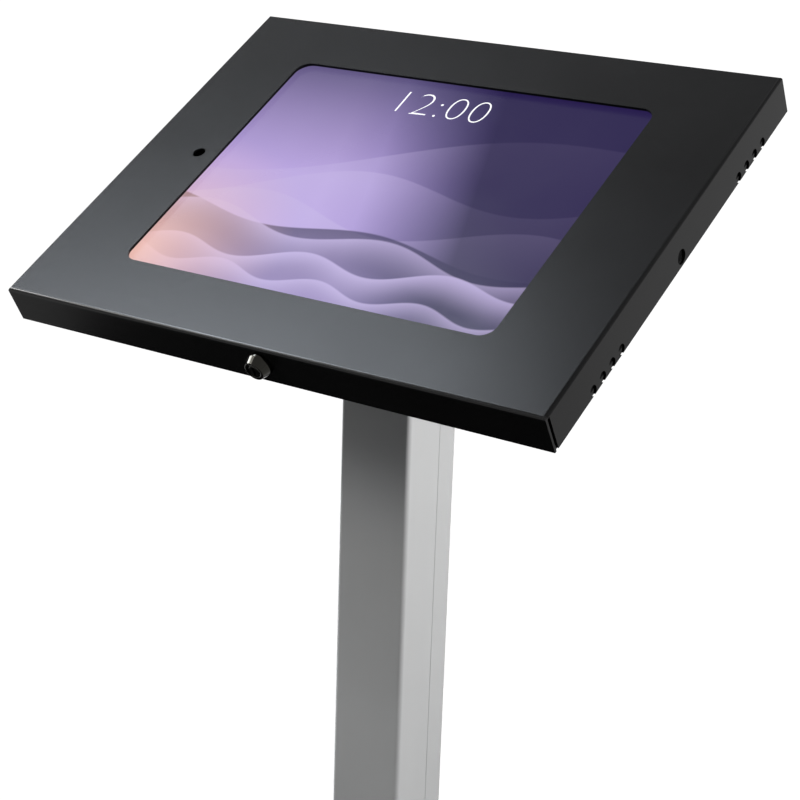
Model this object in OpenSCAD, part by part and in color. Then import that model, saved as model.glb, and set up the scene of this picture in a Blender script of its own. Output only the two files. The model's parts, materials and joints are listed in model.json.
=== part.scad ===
// Floor kiosk stand for a tablet: a lockable sheet-metal enclosure on a tilting, turning head.
// Origin: middle of the base on the floor. X is right, Y is back, Z is up. Millimetres.

/* [Base] */
// Width of the base plate
base_w = 340; // [260:5:460]
// Front to back length of the base plate
base_l = 380; // [300:5:500]
// Thickness of the base plate
base_t = 6; // [4:0.5:12]
// Radius of the base plate's corners
base_corner_r = 30; // [10:1:60]
// Distance of the pole's axis behind the middle of the base
pole_setback = 40; // [0:5:60]
// Distance of the floor anchor holes from the edges
anchor_inset = 30; // [20:1:45]
// Diameter of the floor anchor holes
anchor_d = 9; // [6:0.5:12]
// Diameter of a rubber foot
pad_d = 30; // [20:1:40]
// Height of a rubber foot
pad_t = 3; // [2:0.5:6]

/* [Pole] */
// Length of the pole
pole_h = 1000; // [600:10:1300]
// Outer width of the square pole
pole_w = 40; // [32:1:60]
// Depth of the front channel, up to its seam with the rear cover
channel_d = 25.5; // [20:0.5:28]
// Wall of the channel and the rear cover
pole_wall = 1.5; // [1:0.1:2.5]
// Outer bend radius of the pole's edges
pole_bend_r = 2.2; // [2:0.1:4]
// Overlap of the rear cover's lips inside the channel
lip_l = 7; // [4:0.5:10]
// Width of the foot plate beyond the pole
foot_edge = 30; // [20:1:45]
// Thickness of the foot plate
foot_t = 5; // [4:0.5:10]
// Height of the cable exit at the foot
exit_h = 32; // [26:1:50]
// Diameter of the cable exit's bore
exit_d = 12; // [8:0.5:16]

/* [Head] */
// Angle of the screen from level, at rest
face_tilt = 30; // [0:1:60]
// Steepest angle of the screen from level
steepest_tilt = 60; // [45:1:65]
// Diameter of the tilt bolt
tilt_bolt_d = 8; // [6:0.5:10]
// Thickness of a lug on the pole head
lug_t = 4; // [3:0.5:6]
// Thickness of the tilt bracket
bracket_t = 2.5; // [2:0.5:5]
// Thickness of the swivel plate
swivel_t = 2; // [2:0.5:5]
// Radius of the hollow swivel hub
hub_r = 10; // [9:0.5:14]
// Radius of the cable way through the hub
hub_bore_r = 7; // [5:0.5:8]
// Spacing of the screws that hold the swivel plate
swivel_screw_pitch = 75; // [60:1:100]

/* [Tablet] */
// Long side of the tablet
tablet_w = 240; // [200:1:300]
// Short side of the tablet
tablet_l = 170; // [140:1:220]
// Thickness of the tablet
tablet_t = 7.5; // [6:0.1:10]
// Corner radius of the tablet
tablet_r = 8; // [4:0.5:12]
// Dark border beside the display, at the short sides
bezel_side = 18; // [12:0.5:24]
// Dark border beside the display, at the long sides
bezel_end = 6.5; // [4:0.5:12]

/* [Enclosure] */
// Width of the cover beyond the tablet, at each short side
side_margin = 25; // [20:0.5:40]
// Length of the cover beyond the tablet, at each long side
end_margin = 25.5; // [22:0.5:40]
// Depth of the cover's flanges
cover_depth = 19; // [16:0.5:26]
// Thickness of the enclosure's sheet steel
sheet = 1.2; // [0.8:0.1:1.6]
// Inner radius of the sheet's folds
bend_in = 0.4; // [0.4:0.1:1.2]
// Display hidden behind each edge of the window
window_lap = 2; // [1:0.5:4]
// Corner radius of the window
window_r = 7; // [4:0.5:16]
// Diameter of the camera hole
camera_hole_d = 6.5; // [4:0.5:9]
// Thickness of the rubber gasket round the window
gasket_t = 1; // [0.6:0.1:1.6]
// Open gap of the seams at the cover's corners
seam_gap = 1.7; // [1:0.1:3]
// Diameter of the small sound notches in the right flange
notch_d = 5; // [3:0.5:6]
// Distance between the small sound notches
notch_pitch = 8.2; // [7:0.1:10]
// Diameter of the connector hole in the right flange
port_d = 6.8; // [5:0.1:9]

/* [Hinge and lock] */
// Length of each of the two cover hinges
hinge_l = 50; // [30:1:70]
// Distance of each hinge from the middle of the cover
hinge_u = 85; // [60:1:105]
// Outer radius of the hinge knuckles
knuckle_r = 2.2; // [2:0.1:3]
// Radius of the hinge pins
hinge_pin_r = 1.2; // [0.8:0.1:1.5]
// Thickness of the hinge leaves
leaf_t = 1; // [0.8:0.1:1.5]
// Distance of the lock to the right of the cover's middle
lock_u = 2.5; // [-20:0.5:20]
// Diameter of the lock's bezel, at the cover
lock_bezel_d = 12; // [11:0.2:16]
// Height of the lock's bezel
lock_bezel_h = 5.5; // [2:0.1:8]
// Radius of the lock's barrel
lock_r = 5; // [4.5:0.1:5.5]
// Length of the lock's barrel behind the cover
lock_l = 12; // [10:0.5:14]
// Radius of the lock's core
core_r = 3.2; // [2.8:0.1:3.4]

/* [Hidden] */
$fn = 64;

// Fits
run_fit = 0.05; // radial room of a pin that turns in its hole
bolt_fit = 0.15; // radial room of a screw in a plain hole
run_gap = 0.3; // gap between flat faces that turn past each other
slip = 0.2; // gap between pieces that slide together
cut = 1; // how far a cutting shape runs past what it cuts
join = 0.1; // how far joined shapes run into each other

// Fasteners
screw_r = 2.5; // button screws of the pole
screw_head_r = 4.5;
screw_head_h = 2.6;
small_screw_r = 2; // screws of the enclosure
small_head_r = 3.8;
small_head_h = 2.2;
foot_screw_r = 4; // countersunk screws under the base
foot_head_r = 7.6;
button_taper = 0.72; // top of a button head, as a share of its seat
head_screw_drops = [12, 30]; // below the top of the pole

// Heights of the stand
base_top = pad_t + base_t;
pole_z = base_top + foot_t;
pole_top = pole_z + pole_h;
pole_half = pole_w / 2;
seam_y = channel_d - pole_half;
pole_in = pole_half - pole_wall;
foot_w = pole_w + 2 * foot_edge;
foot_screw_at = pole_half + foot_edge / 2;
pad_inset = [45, 65];
pad_edge = 1;
plate_corner_r = 8;
plate_chamfer = 1;
anchor_r = anchor_d / 2;

// Rear cover of the pole
lip_t = 1.2;
lip_joggle = 2.5;
lip_out = pole_in - slip;
post_r = 5;
post_end = 120;
post_z = [pole_z + post_end, pole_z + pole_h / 2, pole_top - post_end];
post_thread = 12;

// Head, measured from the tilt axis
tilt_r = tilt_bolt_d / 2;
lug_edge = 3.4; // metal round the tilt bolt
lug_r = tilt_r + lug_edge;
ear_r = lug_r + 0.5;
ring_w = 2.4;
ring_r = hub_r + ring_w;
ring_t = 1.4;
pin_r = 2;
pin_edge = 2.2; // metal beyond the stop slot
stop_r = ring_r + pin_r + 0.6;
lug_in = ring_r + 0.8;
lug_out = lug_in + lug_t;
ear_in = lug_out + run_gap;
ear_out = ear_in + bracket_t;
bracket_l = 2 * (stop_r + pin_r + pin_edge);
lug_flare = 4; // a lug's foot beyond its round end, to the front and the back
lug_blend = 0.96; // keeps the lug's sides from touching its round end along a line
lug_clear = 0.6;
bracket_bend = 1; // inner radius of the bracket's folds
bracket_under = lug_r + lug_clear;
bracket_top = bracket_under + bracket_t;
swivel_under = bracket_top + run_gap;
swivel_top = swivel_under + swivel_t;
swivel_edge = 7.5;
swivel_w = swivel_screw_pitch + 2 * swivel_edge;
cap_t = 4;
cap_clear = 1.4;
cap_w = max(pole_w, 2 * lug_out + 2);
bracket_drop = bracket_l / 2 * sin(steepest_tilt) - bracket_under * cos(steepest_tilt);
axis_rise = max(ear_r, bracket_drop) + cap_clear;
axis_z = pole_top + cap_t + axis_rise;
plug_h = 40;
plug_wall = 4;
plug_gap = 0.5;
plug_back = seam_y - lip_l - plug_gap;
plug_front = -pole_in + run_gap;
cap_hole_r = 6.5;
cap_hole_y = 8;
washer_r = tilt_r * 2;
washer_t = 1.2;
washer_gap = 0.1;
washer_out = ear_out + washer_gap + washer_t;
hex_r = tilt_r * 1.88;
bolt_head_h = tilt_r * 1.3;
nut_h = tilt_r * 1.7;
bolt_end = 2; // thread beyond the nut
slot_trim = 0.02; // keeps the slot's round ends from touching its sides along a line

// Enclosure, with depths measured down from the cover's outer face
tray_drop = 2.5; // the tray below the cover's flanges, which backs their notches
floor_depth = cover_depth + tray_drop;
floor_in = floor_depth - sheet;
face_h = swivel_top + floor_depth;
cover_w = tablet_w + 2 * side_margin;
cover_l = tablet_l + 2 * end_margin;
display_w = tablet_w - 2 * bezel_side;
display_l = tablet_l - 2 * bezel_end;
window_w = display_w - 2 * window_lap;
window_l = display_l - 2 * window_lap;
camera_u = -(tablet_w - bezel_side) / 2;
flange_u = cover_w / 2 - sheet;
flange_v = cover_l / 2 - sheet;
notch_edge = 2.4;
notch_depth = cover_depth - notch_edge;
notch_centre = 3.3;
notch_group = 68.3;
port_edge = 1;
port_depth = cover_depth - port_d / 2 - port_edge;

// Tray
swing_gap = 1.2; // room that the front flange needs as the cover swings
side_gap = 0.4; // room for the side flanges, which slide past the tray
tray_w = 2 * (flange_u - side_gap);
tray_front = -(flange_v - swing_gap);
leaf_gap = 0.8;
tray_back = flange_v - leaf_t - leaf_gap;
tray_l = tray_back - tray_front;
tray_v = (tray_back + tray_front) / 2;
wall_top = 4;
grommet_r = 9;
grommet_bore = 6.5;
grommet_lip = 2.4;
grommet_lip_t = 1.6;
grommet_edge = 0.6;
vent_w = 3;
vent_l = 34;
vent_pitch = 8;
vent_u = 88;
sound_rise = 3; // sound slots of the tray above the cover's notches

// Tablet
glass_gap = 0.4;
glass_depth = sheet + gasket_t + glass_gap;
tablet_back = glass_depth + tablet_t;
glass_t = 0.8;
shell_rim = 0.8; // metal rim round the glass
shell_edge = 1.5; // step round the back of the shell
rim_drop = 0.2;
glass_fit = 0.1;
camera_r = 2.5;
lens_r = 1.4;
lens_drop = 0.3;
cradle_reach = 20;
cradle_wall = 6;
cradle_corner_r = 4;
cradle_cushion = 1.5; // rubber left over the screw's end
cradle_top = glass_depth + 1.8;
cradle_screw_in = 9;
gasket_w = 6;
gasket_back = 1; // gasket behind the window's edge

// Hinge
hinge_v = flange_v - knuckle_r;
hinge_depth = floor_depth + run_gap + knuckle_r;
mid_knuckle = hinge_l * 0.36;
leaf_reach = 15;
leaf_clear = knuckle_r + 1;
pin_head = 0.6;

// Lock
lock_rise = 0.8; // the lock above the middle of the flange
lock_depth = cover_depth / 2 - lock_rise;
lock_flat = lock_r - 0.6;
bezel_r = lock_bezel_d / 2;
bezel_rim = lock_bezel_h * 0.3; // straight part of the bezel
bezel_taper = 1.2;
bezel_bevel = 0.5;
dish_r = core_r + 0.7; // shallow dish round the core
dish_depth = 0.3;
core_recess = 0.2;
key_w = 1;
key_l = 4.4;
key_depth = 4;
lock_end = -cover_l / 2 + lock_l;
nut_af = 13;
lock_nut_t = 2.8;
cam_t = 1.5;
cam_half = 3.5;
cam_gap = 0.5;
cam_tip = 1;
cam_reach = floor_in - lock_depth - 0.4;
cam_front = lock_end + cam_gap;
post_side = 4;
cam_screw_r = 1.4;
cam_screw_l = 5;
cam_head_r = 2.9;
cam_head_h = 1.8;
strike_room = 0.6;
strike_slot = lock_flat + 0.4;
strike_front = lock_end - sheet - 0.7;
strike_half = 13;
strike_foot = 5.4;
lip_under = lock_depth - cam_half - cam_gap;
strike_lip = 6.5;
rivet_r = 1.6;
rivet_head_r = 3;
rivet_head_h = 0.9;
rivet_tail_r = 2.2;
rivet_tail_h = 0.8;
rivet_u = 9.5;
lock_nut_r = nut_af / 2 / cos(30);
notch_half = lock_nut_r + 1.2;

// Shared shapes

// Rectangle with round corners
module round_rect(w, l, r) {
    square([w - 2 * r, l], center = true);
    square([w, l - 2 * r], center = true);
    for (sx = [-1, 1], sy = [-1, 1])
        translate([sx * (w / 2 - r), sy * (l / 2 - r)]) circle(r);
}

// Straight slot with round ends
module slot(len, wide) {
    square([len - wide, wide], center = true);
    for (end = [-1, 1])
        translate([end * (len - wide) / 2, 0]) circle(wide / 2);
}

// Slab with round corners between two heights
module slab(w, l, r, low, high) {
    translate([0, 0, low]) linear_extrude(high - low) round_rect(w, l, r);
}

// Slab with round corners and a chamfered upper edge
module chamfer_slab(w, l, r, low, high, c) {
    slab(w, l, r, low, high - c);
    translate([0, 0, high - c]) {
        rotate([90, 0, 0]) linear_extrude(l - 2 * r, center = true) chamfer_section(w, c);
        rotate([90, 0, 90]) linear_extrude(w - 2 * r, center = true) chamfer_section(l, c);
        at_corners(w / 2 - r, l / 2 - r) cylinder(r1 = r, r2 = r - c, h = c);
    }
}

module chamfer_section(span, c) {
    half = span / 2;
    polygon([[-half, 0], [half, 0], [half - c, c], [c - half, c]]);
}

// Section of a sheet folded along both its upper edges
module fold_section(span, depth, r) {
    translate([-span / 2, 0]) square([span, depth - r]);
    translate([-span / 2 + r, 0]) square([span - 2 * r, depth]);
    for (side = [-1, 1])
        translate([side * (span / 2 - r), depth - r]) circle(r);
}

// Solid pan with a closed top and four folded edges
module pan(w, l, depth, r) {
    intersection() {
        rotate([90, 0, 0]) linear_extrude(l, center = true) fold_section(w, depth, r);
        rotate([90, 0, 90]) linear_extrude(w, center = true) fold_section(l, depth, r);
    }
}

// Sheet-metal pan, open below, with its outer face on top
module sheet_pan(w, l, depth) {
    difference() {
        pan(w, l, depth, bend_in + sheet);
        translate([0, 0, -cut]) pan(w - 2 * sheet, l - 2 * sheet, depth - sheet + cut, bend_in);
    }
}

// Cylinder along Y from one place to another
module rod_y(r, from, to) {
    translate([0, from, 0]) rotate([-90, 0, 0]) cylinder(r = r, h = to - from);
}

// Cylinder along X from one place to another
module rod_x(r, from, to) {
    translate([from, 0, 0]) rotate([0, 90, 0]) cylinder(r = r, h = to - from);
}

// Button-head screw that points down, with its head's seat at zero
module button_screw(r, head_r, head_h, len) {
    translate([0, 0, -len]) cylinder(r = r, h = len);
    cylinder(r1 = head_r, r2 = head_r * button_taper, h = head_h);
}

// Stands children at the pole's axis
module at_pole(z = 0) {
    translate([0, pole_setback, z]) children();
}

// Places children in the tilted head, measured from the tilt axis
module in_head() {
    translate([0, pole_setback, axis_z]) rotate([face_tilt, 0, 0]) children();
}

// Places children on the enclosure, at a depth below the cover's outer face
module in_case(depth = 0) {
    in_head() translate([0, 0, face_h - depth]) children();
}

// Repeats children at the corners of a rectangle
module at_corners(dx, dy) {
    for (sx = [-1, 1], sy = [-1, 1])
        translate([sx * dx, sy * dy, 0]) children();
}

// Base

module anchor_places() {
    at_corners(base_w / 2 - anchor_inset, base_l / 2 - anchor_inset) children();
}

module foot_screw_places() {
    at_pole() at_corners(foot_screw_at, foot_screw_at) children();
}

module countersunk(r, head_r, z, len) {
    translate([0, 0, z]) cylinder(r1 = head_r, r2 = r, h = head_r - r);
    translate([0, 0, z]) cylinder(r = r, h = len);
}

module base_plate() color("#1d1e20") {
    difference() {
        chamfer_slab(base_w, base_l, base_corner_r, pad_t, base_top, plate_chamfer);
        anchor_places() translate([0, 0, pad_t - cut]) cylinder(r = anchor_r, h = base_t + 2 * cut);
        foot_screw_places()
            countersunk(foot_screw_r + bolt_fit, foot_head_r + bolt_fit, pad_t, base_t + cut);
    }
}

module base_feet() color("#0f0f10") {
    at_corners(base_w / 2 - pad_inset[0], base_l / 2 - pad_inset[1]) {
        cylinder(r1 = pad_d / 2 - pad_edge, r2 = pad_d / 2, h = pad_edge);
        translate([0, 0, pad_edge]) cylinder(r = pad_d / 2, h = pad_t - pad_edge);
    }
}

module foot_plate() color("#b9bbbd") {
    difference() {
        at_pole() chamfer_slab(foot_w, foot_w, plate_corner_r, base_top, pole_z, plate_chamfer);
        foot_screw_places() translate([0, 0, base_top - cut])
            cylinder(r = foot_screw_r + run_fit, h = foot_t + 2 * cut);
    }
}

module foot_screws() color("#8d8f92") {
    foot_screw_places() countersunk(foot_screw_r, foot_head_r, pad_t, base_t + foot_t);
}

// Pole

// Section of a bent half of the pole, open below
module half_section(depth) {
    inner_r = pole_bend_r - pole_wall;
    difference() {
        fold_section(pole_w, depth, pole_bend_r);
        translate([0, -cut]) fold_section(2 * pole_in, depth - pole_wall + cut, inner_r);
    }
}

module pole_channel() color("#b9bbbd") {
    at_pole(pole_z) difference() {
        translate([0, seam_y, 0]) linear_extrude(pole_h) mirror([0, 1, 0]) half_section(channel_d);
        head_screw_places() rod_x(screw_r + bolt_fit, -cut - pole_wall, cut);
    }
}

module cover_posts() color("#8d8f92") {
    for (z = post_z)
        at_pole(z) difference() {
            rod_y(post_r, -pole_in, pole_in);
            rod_y(screw_r + run_fit, pole_in - post_thread, pole_in + cut);
        }
}

module pole_rear_cover() color("#b4b6b8") {
    low = exit_h + slip;
    at_pole(pole_z) difference() {
        translate([0, 0, low]) linear_extrude(pole_h - low) {
            translate([0, seam_y + slip]) half_section(pole_half - seam_y - slip);
            for (side = [0, 1]) mirror([side, 0]) translate([lip_out - lip_t, seam_y]) {
                translate([0, -lip_l]) square([lip_t, lip_l + slip + lip_joggle]);
                translate([0, slip]) square([lip_t + slip + pole_wall / 2, lip_joggle]);
            }
        }
        for (z = post_z)
            translate([0, 0, z - pole_z]) rod_y(screw_r + bolt_fit, pole_in - cut, pole_half + cut);
    }
}

module rear_cover_screws() color("#8d8f92") {
    for (z = post_z)
        at_pole(z) translate([0, pole_half, 0]) rotate([-90, 0, 0])
            button_screw(screw_r, screw_head_r, screw_head_h, post_thread);
}

module cable_exit() color("#161617") {
    block_d = pole_half - seam_y - slip;
    at_pole(pole_z) difference() {
        translate([0, seam_y + slip, 0]) linear_extrude(exit_h)
            fold_section(pole_w, block_d, pole_bend_r);
        translate([0, 0, exit_h / 2]) rod_y(exit_d / 2, seam_y - cut, pole_half + cut);
    }
}

// Screws through both sides of the pole into the head's plug, drawn on the side faces
module head_screw_places() {
    for (side = [0, 1], drop = head_screw_drops)
        translate([0, (plug_front + plug_back) / 2, pole_h - drop]) rotate([0, 0, 180 * side])
            translate([pole_half, 0, 0]) children();
}

module pole_head_screws() color("#8d8f92") {
    at_pole(pole_z) head_screw_places() rotate([0, 90, 0])
        button_screw(screw_r, screw_head_r, screw_head_h, pole_wall + plug_wall);
}

// Side view of a lug round the tilt axis: a round end on flared sides
module lug_section() {
    drop = axis_rise + cap_t / 2;
    foot = lug_r + lug_flare;
    turn = acos(lug_r / norm([foot, drop])) - atan2(drop, foot);
    side = lug_r * lug_blend * cos(turn);
    top = lug_r * lug_blend * sin(turn);
    polygon([[-foot, -drop], [foot, -drop], [side, top], [-side, top]]);
    circle(lug_r);
}

module pole_head() color("#2a2b2d") {
    plug_l = plug_back - plug_front;
    plug_w = 2 * (pole_in - run_gap);
    at_pole() difference() {
        union() {
            slab(cap_w, cap_w, pole_bend_r, pole_top, pole_top + cap_t);
            translate([-plug_w / 2, plug_front, pole_top - plug_h]) difference() {
                cube([plug_w, plug_l, plug_h + cap_t / 2]);
                translate([plug_wall, plug_wall, -cut])
                    cube([plug_w - 2 * plug_wall, plug_l - 2 * plug_wall, plug_h + cut]);
            }
            for (side = [-1, 1]) translate([side * (lug_in + lug_out) / 2, 0, axis_z])
                rotate([90, 0, 90]) linear_extrude(lug_t, center = true) lug_section();
        }
        translate([0, 0, axis_z]) rod_x(tilt_r + run_fit, -lug_out - cut, lug_out + cut);
        translate([0, cap_hole_y, pole_top - cut]) cylinder(r = cap_hole_r, h = cap_t + 2 * cut);
        translate([0, 0, pole_z]) head_screw_places()
            rod_x(screw_r + run_fit, -pole_wall - plug_wall - cut, cut);
    }
}

// Tilt joint

module at_axis() {
    translate([0, pole_setback, axis_z]) children();
}

// Hexagon of the tilt bolt's head and nut, along X
module hex_x(h) {
    rotate([0, 90, 0]) cylinder(r = hex_r, h = h, $fn = 6);
}

module tilt_bolt() color("#8d8f92") {
    at_axis() {
        rod_x(tilt_r, -washer_out - join, washer_out + nut_h + bolt_end);
        translate([-washer_out - bolt_head_h, 0, 0]) hex_x(bolt_head_h);
    }
}

module tilt_nut() color("#8d8f92") {
    at_axis() translate([washer_out, 0, 0]) difference() {
        hex_x(nut_h);
        rod_x(tilt_r + run_fit, -cut, nut_h + cut);
    }
}

module tilt_washers() color("#a3a5a8") {
    at_axis() for (side = [0, 1]) rotate([0, 0, 180 * side]) difference() {
        rod_x(washer_r, washer_out - washer_t, washer_out);
        rod_x(tilt_r + run_fit, ear_out, washer_out + cut);
    }
}

// Slot for the stop pin: a quarter of a turn round the hub
module stop_slot() {
    wide = pin_r + run_fit * 2;
    far = 2 * stop_r;
    intersection() {
        difference() {
            circle(stop_r + wide);
            circle(stop_r - wide);
        }
        polygon([[0, 0], [far, far], [-far, far]]);
    }
    for (angle = [45, 135])
        rotate(angle) translate([stop_r, 0]) circle(wide - slot_trim);
}

// Plate with two folded ears; it stops short of the folds beside them
module tilt_bracket() color("#2a2b2d") {
    plate_half = ear_out - bracket_t - bracket_bend;
    in_head() difference() {
        union() {
            translate([-plate_half, -bracket_l / 2, bracket_under])
                cube([2 * plate_half, bracket_l, bracket_t]);
            rotate([90, 0, 0]) linear_extrude(2 * ear_r, center = true) difference() {
                fold_section(2 * ear_out, bracket_top, bracket_bend + bracket_t);
                translate([0, -cut]) fold_section(2 * ear_in, bracket_under + cut, bracket_bend);
            }
            for (side = [-1, 1])
                translate([side * (ear_in + ear_out) / 2, 0, 0]) rod_x(ear_r, -bracket_t / 2, bracket_t / 2);
        }
        rod_x(tilt_r + run_fit, -ear_out - cut, ear_out + cut);
        translate([0, 0, bracket_under - cut]) cylinder(r = hub_r + run_fit, h = bracket_t + 2 * cut);
        translate([0, 0, bracket_under - cut]) linear_extrude(bracket_t + 2 * cut) stop_slot();
    }
}

// Swivel

module swivel_screw_places() {
    at_corners(swivel_screw_pitch / 2, swivel_screw_pitch / 2) children();
}

module stop_pin_place() {
    rotate([0, 0, 135]) translate([stop_r, 0, 0]) children();
}

module swivel_plate() color("#2a2b2d") {
    hub_end = bracket_under - slip - ring_t - slip;
    in_head() difference() {
        union() {
            slab(swivel_w, swivel_w, plate_corner_r, swivel_under, swivel_top);
            translate([0, 0, hub_end]) cylinder(r = hub_r, h = swivel_top - hub_end);
        }
        translate([0, 0, hub_end - cut]) cylinder(r = hub_bore_r, h = swivel_top - hub_end + 2 * cut);
        translate([0, 0, swivel_under - cut]) {
            swivel_screw_places() cylinder(r = small_screw_r + run_fit, h = swivel_t + 2 * cut);
            stop_pin_place() cylinder(r = pin_r + run_fit, h = swivel_t + 2 * cut);
        }
    }
}

module swivel_ring() color("#8d8f92") {
    in_head() translate([0, 0, bracket_under - slip - ring_t]) difference() {
        cylinder(r = ring_r, h = ring_t);
        translate([0, 0, -cut]) cylinder(r = hub_r + run_fit, h = ring_t + 2 * cut);
    }
}

module stop_pin() color("#8d8f92") {
    in_head() stop_pin_place() translate([0, 0, bracket_under - slip])
        cylinder(r = pin_r, h = swivel_top - bracket_under + slip);
}

module swivel_screws() color("#8d8f92") {
    in_case(floor_in) swivel_screw_places()
        button_screw(small_screw_r, small_head_r, small_head_h, sheet + swivel_t);
}

// Back tray

module cradle_screw_places() {
    at_corners(tablet_w / 2 - cradle_screw_in, tablet_l / 2 - cradle_screw_in) children();
}

module vent_slots() {
    for (side = [-1, 1], row = [-2.5 : 2.5])
        translate([side * vent_u, row * vent_pitch]) slot(vent_l, vent_w);
}

module lock_wall_notch() {
    translate([lock_u - notch_half, tray_front - cut, -lock_depth - notch_half])
        cube([2 * notch_half, sheet + 2 * cut, cover_depth]);
}

module sound_slots() {
    for (group = [-1, 1])
        translate([tray_w / 2 - sheet - cut, notch_centre + group * notch_group, sound_rise - notch_depth])
            rotate([90, 0, 90]) linear_extrude(sheet + 2 * cut) slot(notch_pitch * 4, notch_d);
}

module back_tray() color("#1b1c1e") {
    in_case() difference() {
        translate([0, tray_v, -floor_depth]) mirror([0, 0, 1]) translate([0, 0, wall_top - floor_depth])
            sheet_pan(tray_w, tray_l, floor_depth - wall_top);
        translate([0, 0, -floor_depth - cut]) {
            cylinder(r = grommet_r, h = sheet + 2 * cut);
            linear_extrude(sheet + 2 * cut) vent_slots();
            swivel_screw_places() cylinder(r = small_screw_r + bolt_fit, h = sheet + 2 * cut);
            cradle_screw_places() cylinder(r = small_screw_r + bolt_fit, h = sheet + 2 * cut);
            rivet_places() cylinder(r = rivet_r + run_fit, h = sheet + 2 * cut);
        }
        lock_wall_notch();
        sound_slots();
    }
}

module cable_grommet() color("#101011") {
    neck = grommet_r - slip;
    lip = neck + grommet_lip;
    top = sheet + grommet_lip_t;
    in_case(floor_depth) rotate_extrude()
        polygon([[grommet_bore, 0], [neck, 0], [neck, sheet], [lip, sheet], [lip, top - grommet_edge],
            [lip - grommet_edge, top], [grommet_bore, top]]);
}

// Rubber corner that carries the tablet and keeps it from sliding
module cradle_block() {
    size = cradle_reach + cradle_wall;
    half_u = tablet_w / 2;
    half_v = tablet_l / 2;
    difference() {
        translate([half_u - cradle_reach + size / 2, half_v - cradle_reach + size / 2, 0])
            slab(size, size, cradle_corner_r, -floor_in, -cradle_top);
        slab(tablet_w + slip, tablet_l + slip, tablet_r, -tablet_back, 0);
        translate([half_u - cradle_screw_in, half_v - cradle_screw_in, -floor_in - cut])
            cylinder(r = small_screw_r + run_fit, h = floor_in - tablet_back);
    }
}

module tablet_cradles() color("#161617") {
    in_case() for (su = [0, 1], sv = [0, 1])
        mirror([su, 0, 0]) mirror([0, sv, 0]) cradle_block();
}

module cradle_screws() color("#8d8f92") {
    in_case(floor_depth) cradle_screw_places() rotate([180, 0, 0])
        button_screw(small_screw_r, small_head_r, small_head_h, floor_depth - tablet_back - cradle_cushion);
}

// Tablet

// Slab of the tablet's outline, drawn in by an edge
module tablet_slab(edge, low, high) {
    slab(tablet_w - 2 * edge, tablet_l - 2 * edge, tablet_r - edge, low, high);
}

module tablet_shell() color("#9a9ca0") {
    in_case() difference() {
        union() {
            tablet_slab(0, -tablet_back + shell_edge, -glass_depth - rim_drop);
            tablet_slab(shell_edge, -tablet_back, -tablet_back + shell_edge + join);
        }
        tablet_slab(shell_rim, -glass_depth - glass_t, 0);
    }
}

module tablet_bezel() color("#08080a") {
    in_case() difference() {
        tablet_slab(shell_rim + glass_fit, -glass_depth - glass_t, -glass_depth);
        translate([0, 0, -glass_depth - glass_t - cut]) {
            linear_extrude(glass_t + 2 * cut) square([display_w, display_l], center = true);
            translate([camera_u, 0, 0]) cylinder(r = camera_r + run_fit, h = glass_t + 2 * cut);
        }
    }
}

module tablet_display() color("#6a5aa0") {
    in_case(glass_depth + glass_t) linear_extrude(glass_t)
        square([display_w - slip, display_l - slip], center = true);
}

module tablet_camera() color("#15151c") {
    in_case(glass_depth + glass_t) translate([camera_u, 0, 0]) difference() {
        cylinder(r = camera_r, h = glass_t);
        translate([0, 0, glass_t - lens_drop]) cylinder(r = lens_r, h = cut);
    }
}

// Cover

module window_outline(grow) {
    round_rect(window_w + 2 * grow, window_l + 2 * grow, window_r + grow);
}

// Open corner seams: the side flanges stop short of the front one, and the rear one stops short of them
module corner_seams() {
    rise = cover_depth - bend_in - sheet + cut;
    wide = sheet + bend_in + cut;
    for (side = [0, 1]) mirror([side, 0, 0]) translate([0, 0, -cover_depth - cut]) {
        translate([flange_u - bend_in, -flange_v, 0]) cube([wide, seam_gap, rise]);
        translate([flange_u - seam_gap, flange_v - bend_in, 0]) cube([seam_gap, wide, rise]);
    }
}

// Notches in the right flange: two groups of four that break its edge, and one round connector hole
module flange_notches() {
    for (group = [-1, 1], step = [-1.5 : 1.5])
        translate([0, notch_centre + group * notch_group + step * notch_pitch, -notch_depth])
            rod_x(notch_d / 2, flange_u - cut, flange_u + sheet + cut);
    translate([0, notch_centre, -port_depth]) rod_x(port_d / 2, flange_u - cut, flange_u + sheet + cut);
}

module barrel_section(r, flat, from, to) {
    intersection() {
        rod_y(r, from, to);
        translate([-flat, from, -r - cut]) cube([2 * flat, to - from, 2 * (r + cut)]);
    }
}

module front_cover() color("#202124") {
    in_case() difference() {
        translate([0, 0, -cover_depth]) sheet_pan(cover_w, cover_l, cover_depth);
        translate([0, 0, -sheet - cut]) {
            linear_extrude(sheet + 2 * cut) window_outline(0);
            translate([camera_u, 0, 0]) cylinder(r = camera_hole_d / 2, h = sheet + 2 * cut);
        }
        translate([lock_u, 0, -lock_depth])
            barrel_section(lock_r + bolt_fit, lock_flat + bolt_fit, -cover_l / 2 - cut, -flange_v + cut);
        corner_seams();
        flange_notches();
    }
}

module window_gasket() color("#101011") {
    in_case(sheet + gasket_t) linear_extrude(gasket_t) difference() {
        window_outline(gasket_back + gasket_w);
        window_outline(gasket_back);
    }
}

// Hinges, drawn round their own axis with the leaf running up the flange or along the tray's floor

module at_hinges() {
    in_case(hinge_depth) for (side = [-1, 1])
        translate([side * hinge_u, hinge_v, 0]) children();
}

module hinge_bore() {
    rod_x(hinge_pin_r + run_fit, -hinge_l, hinge_l);
}

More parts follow.
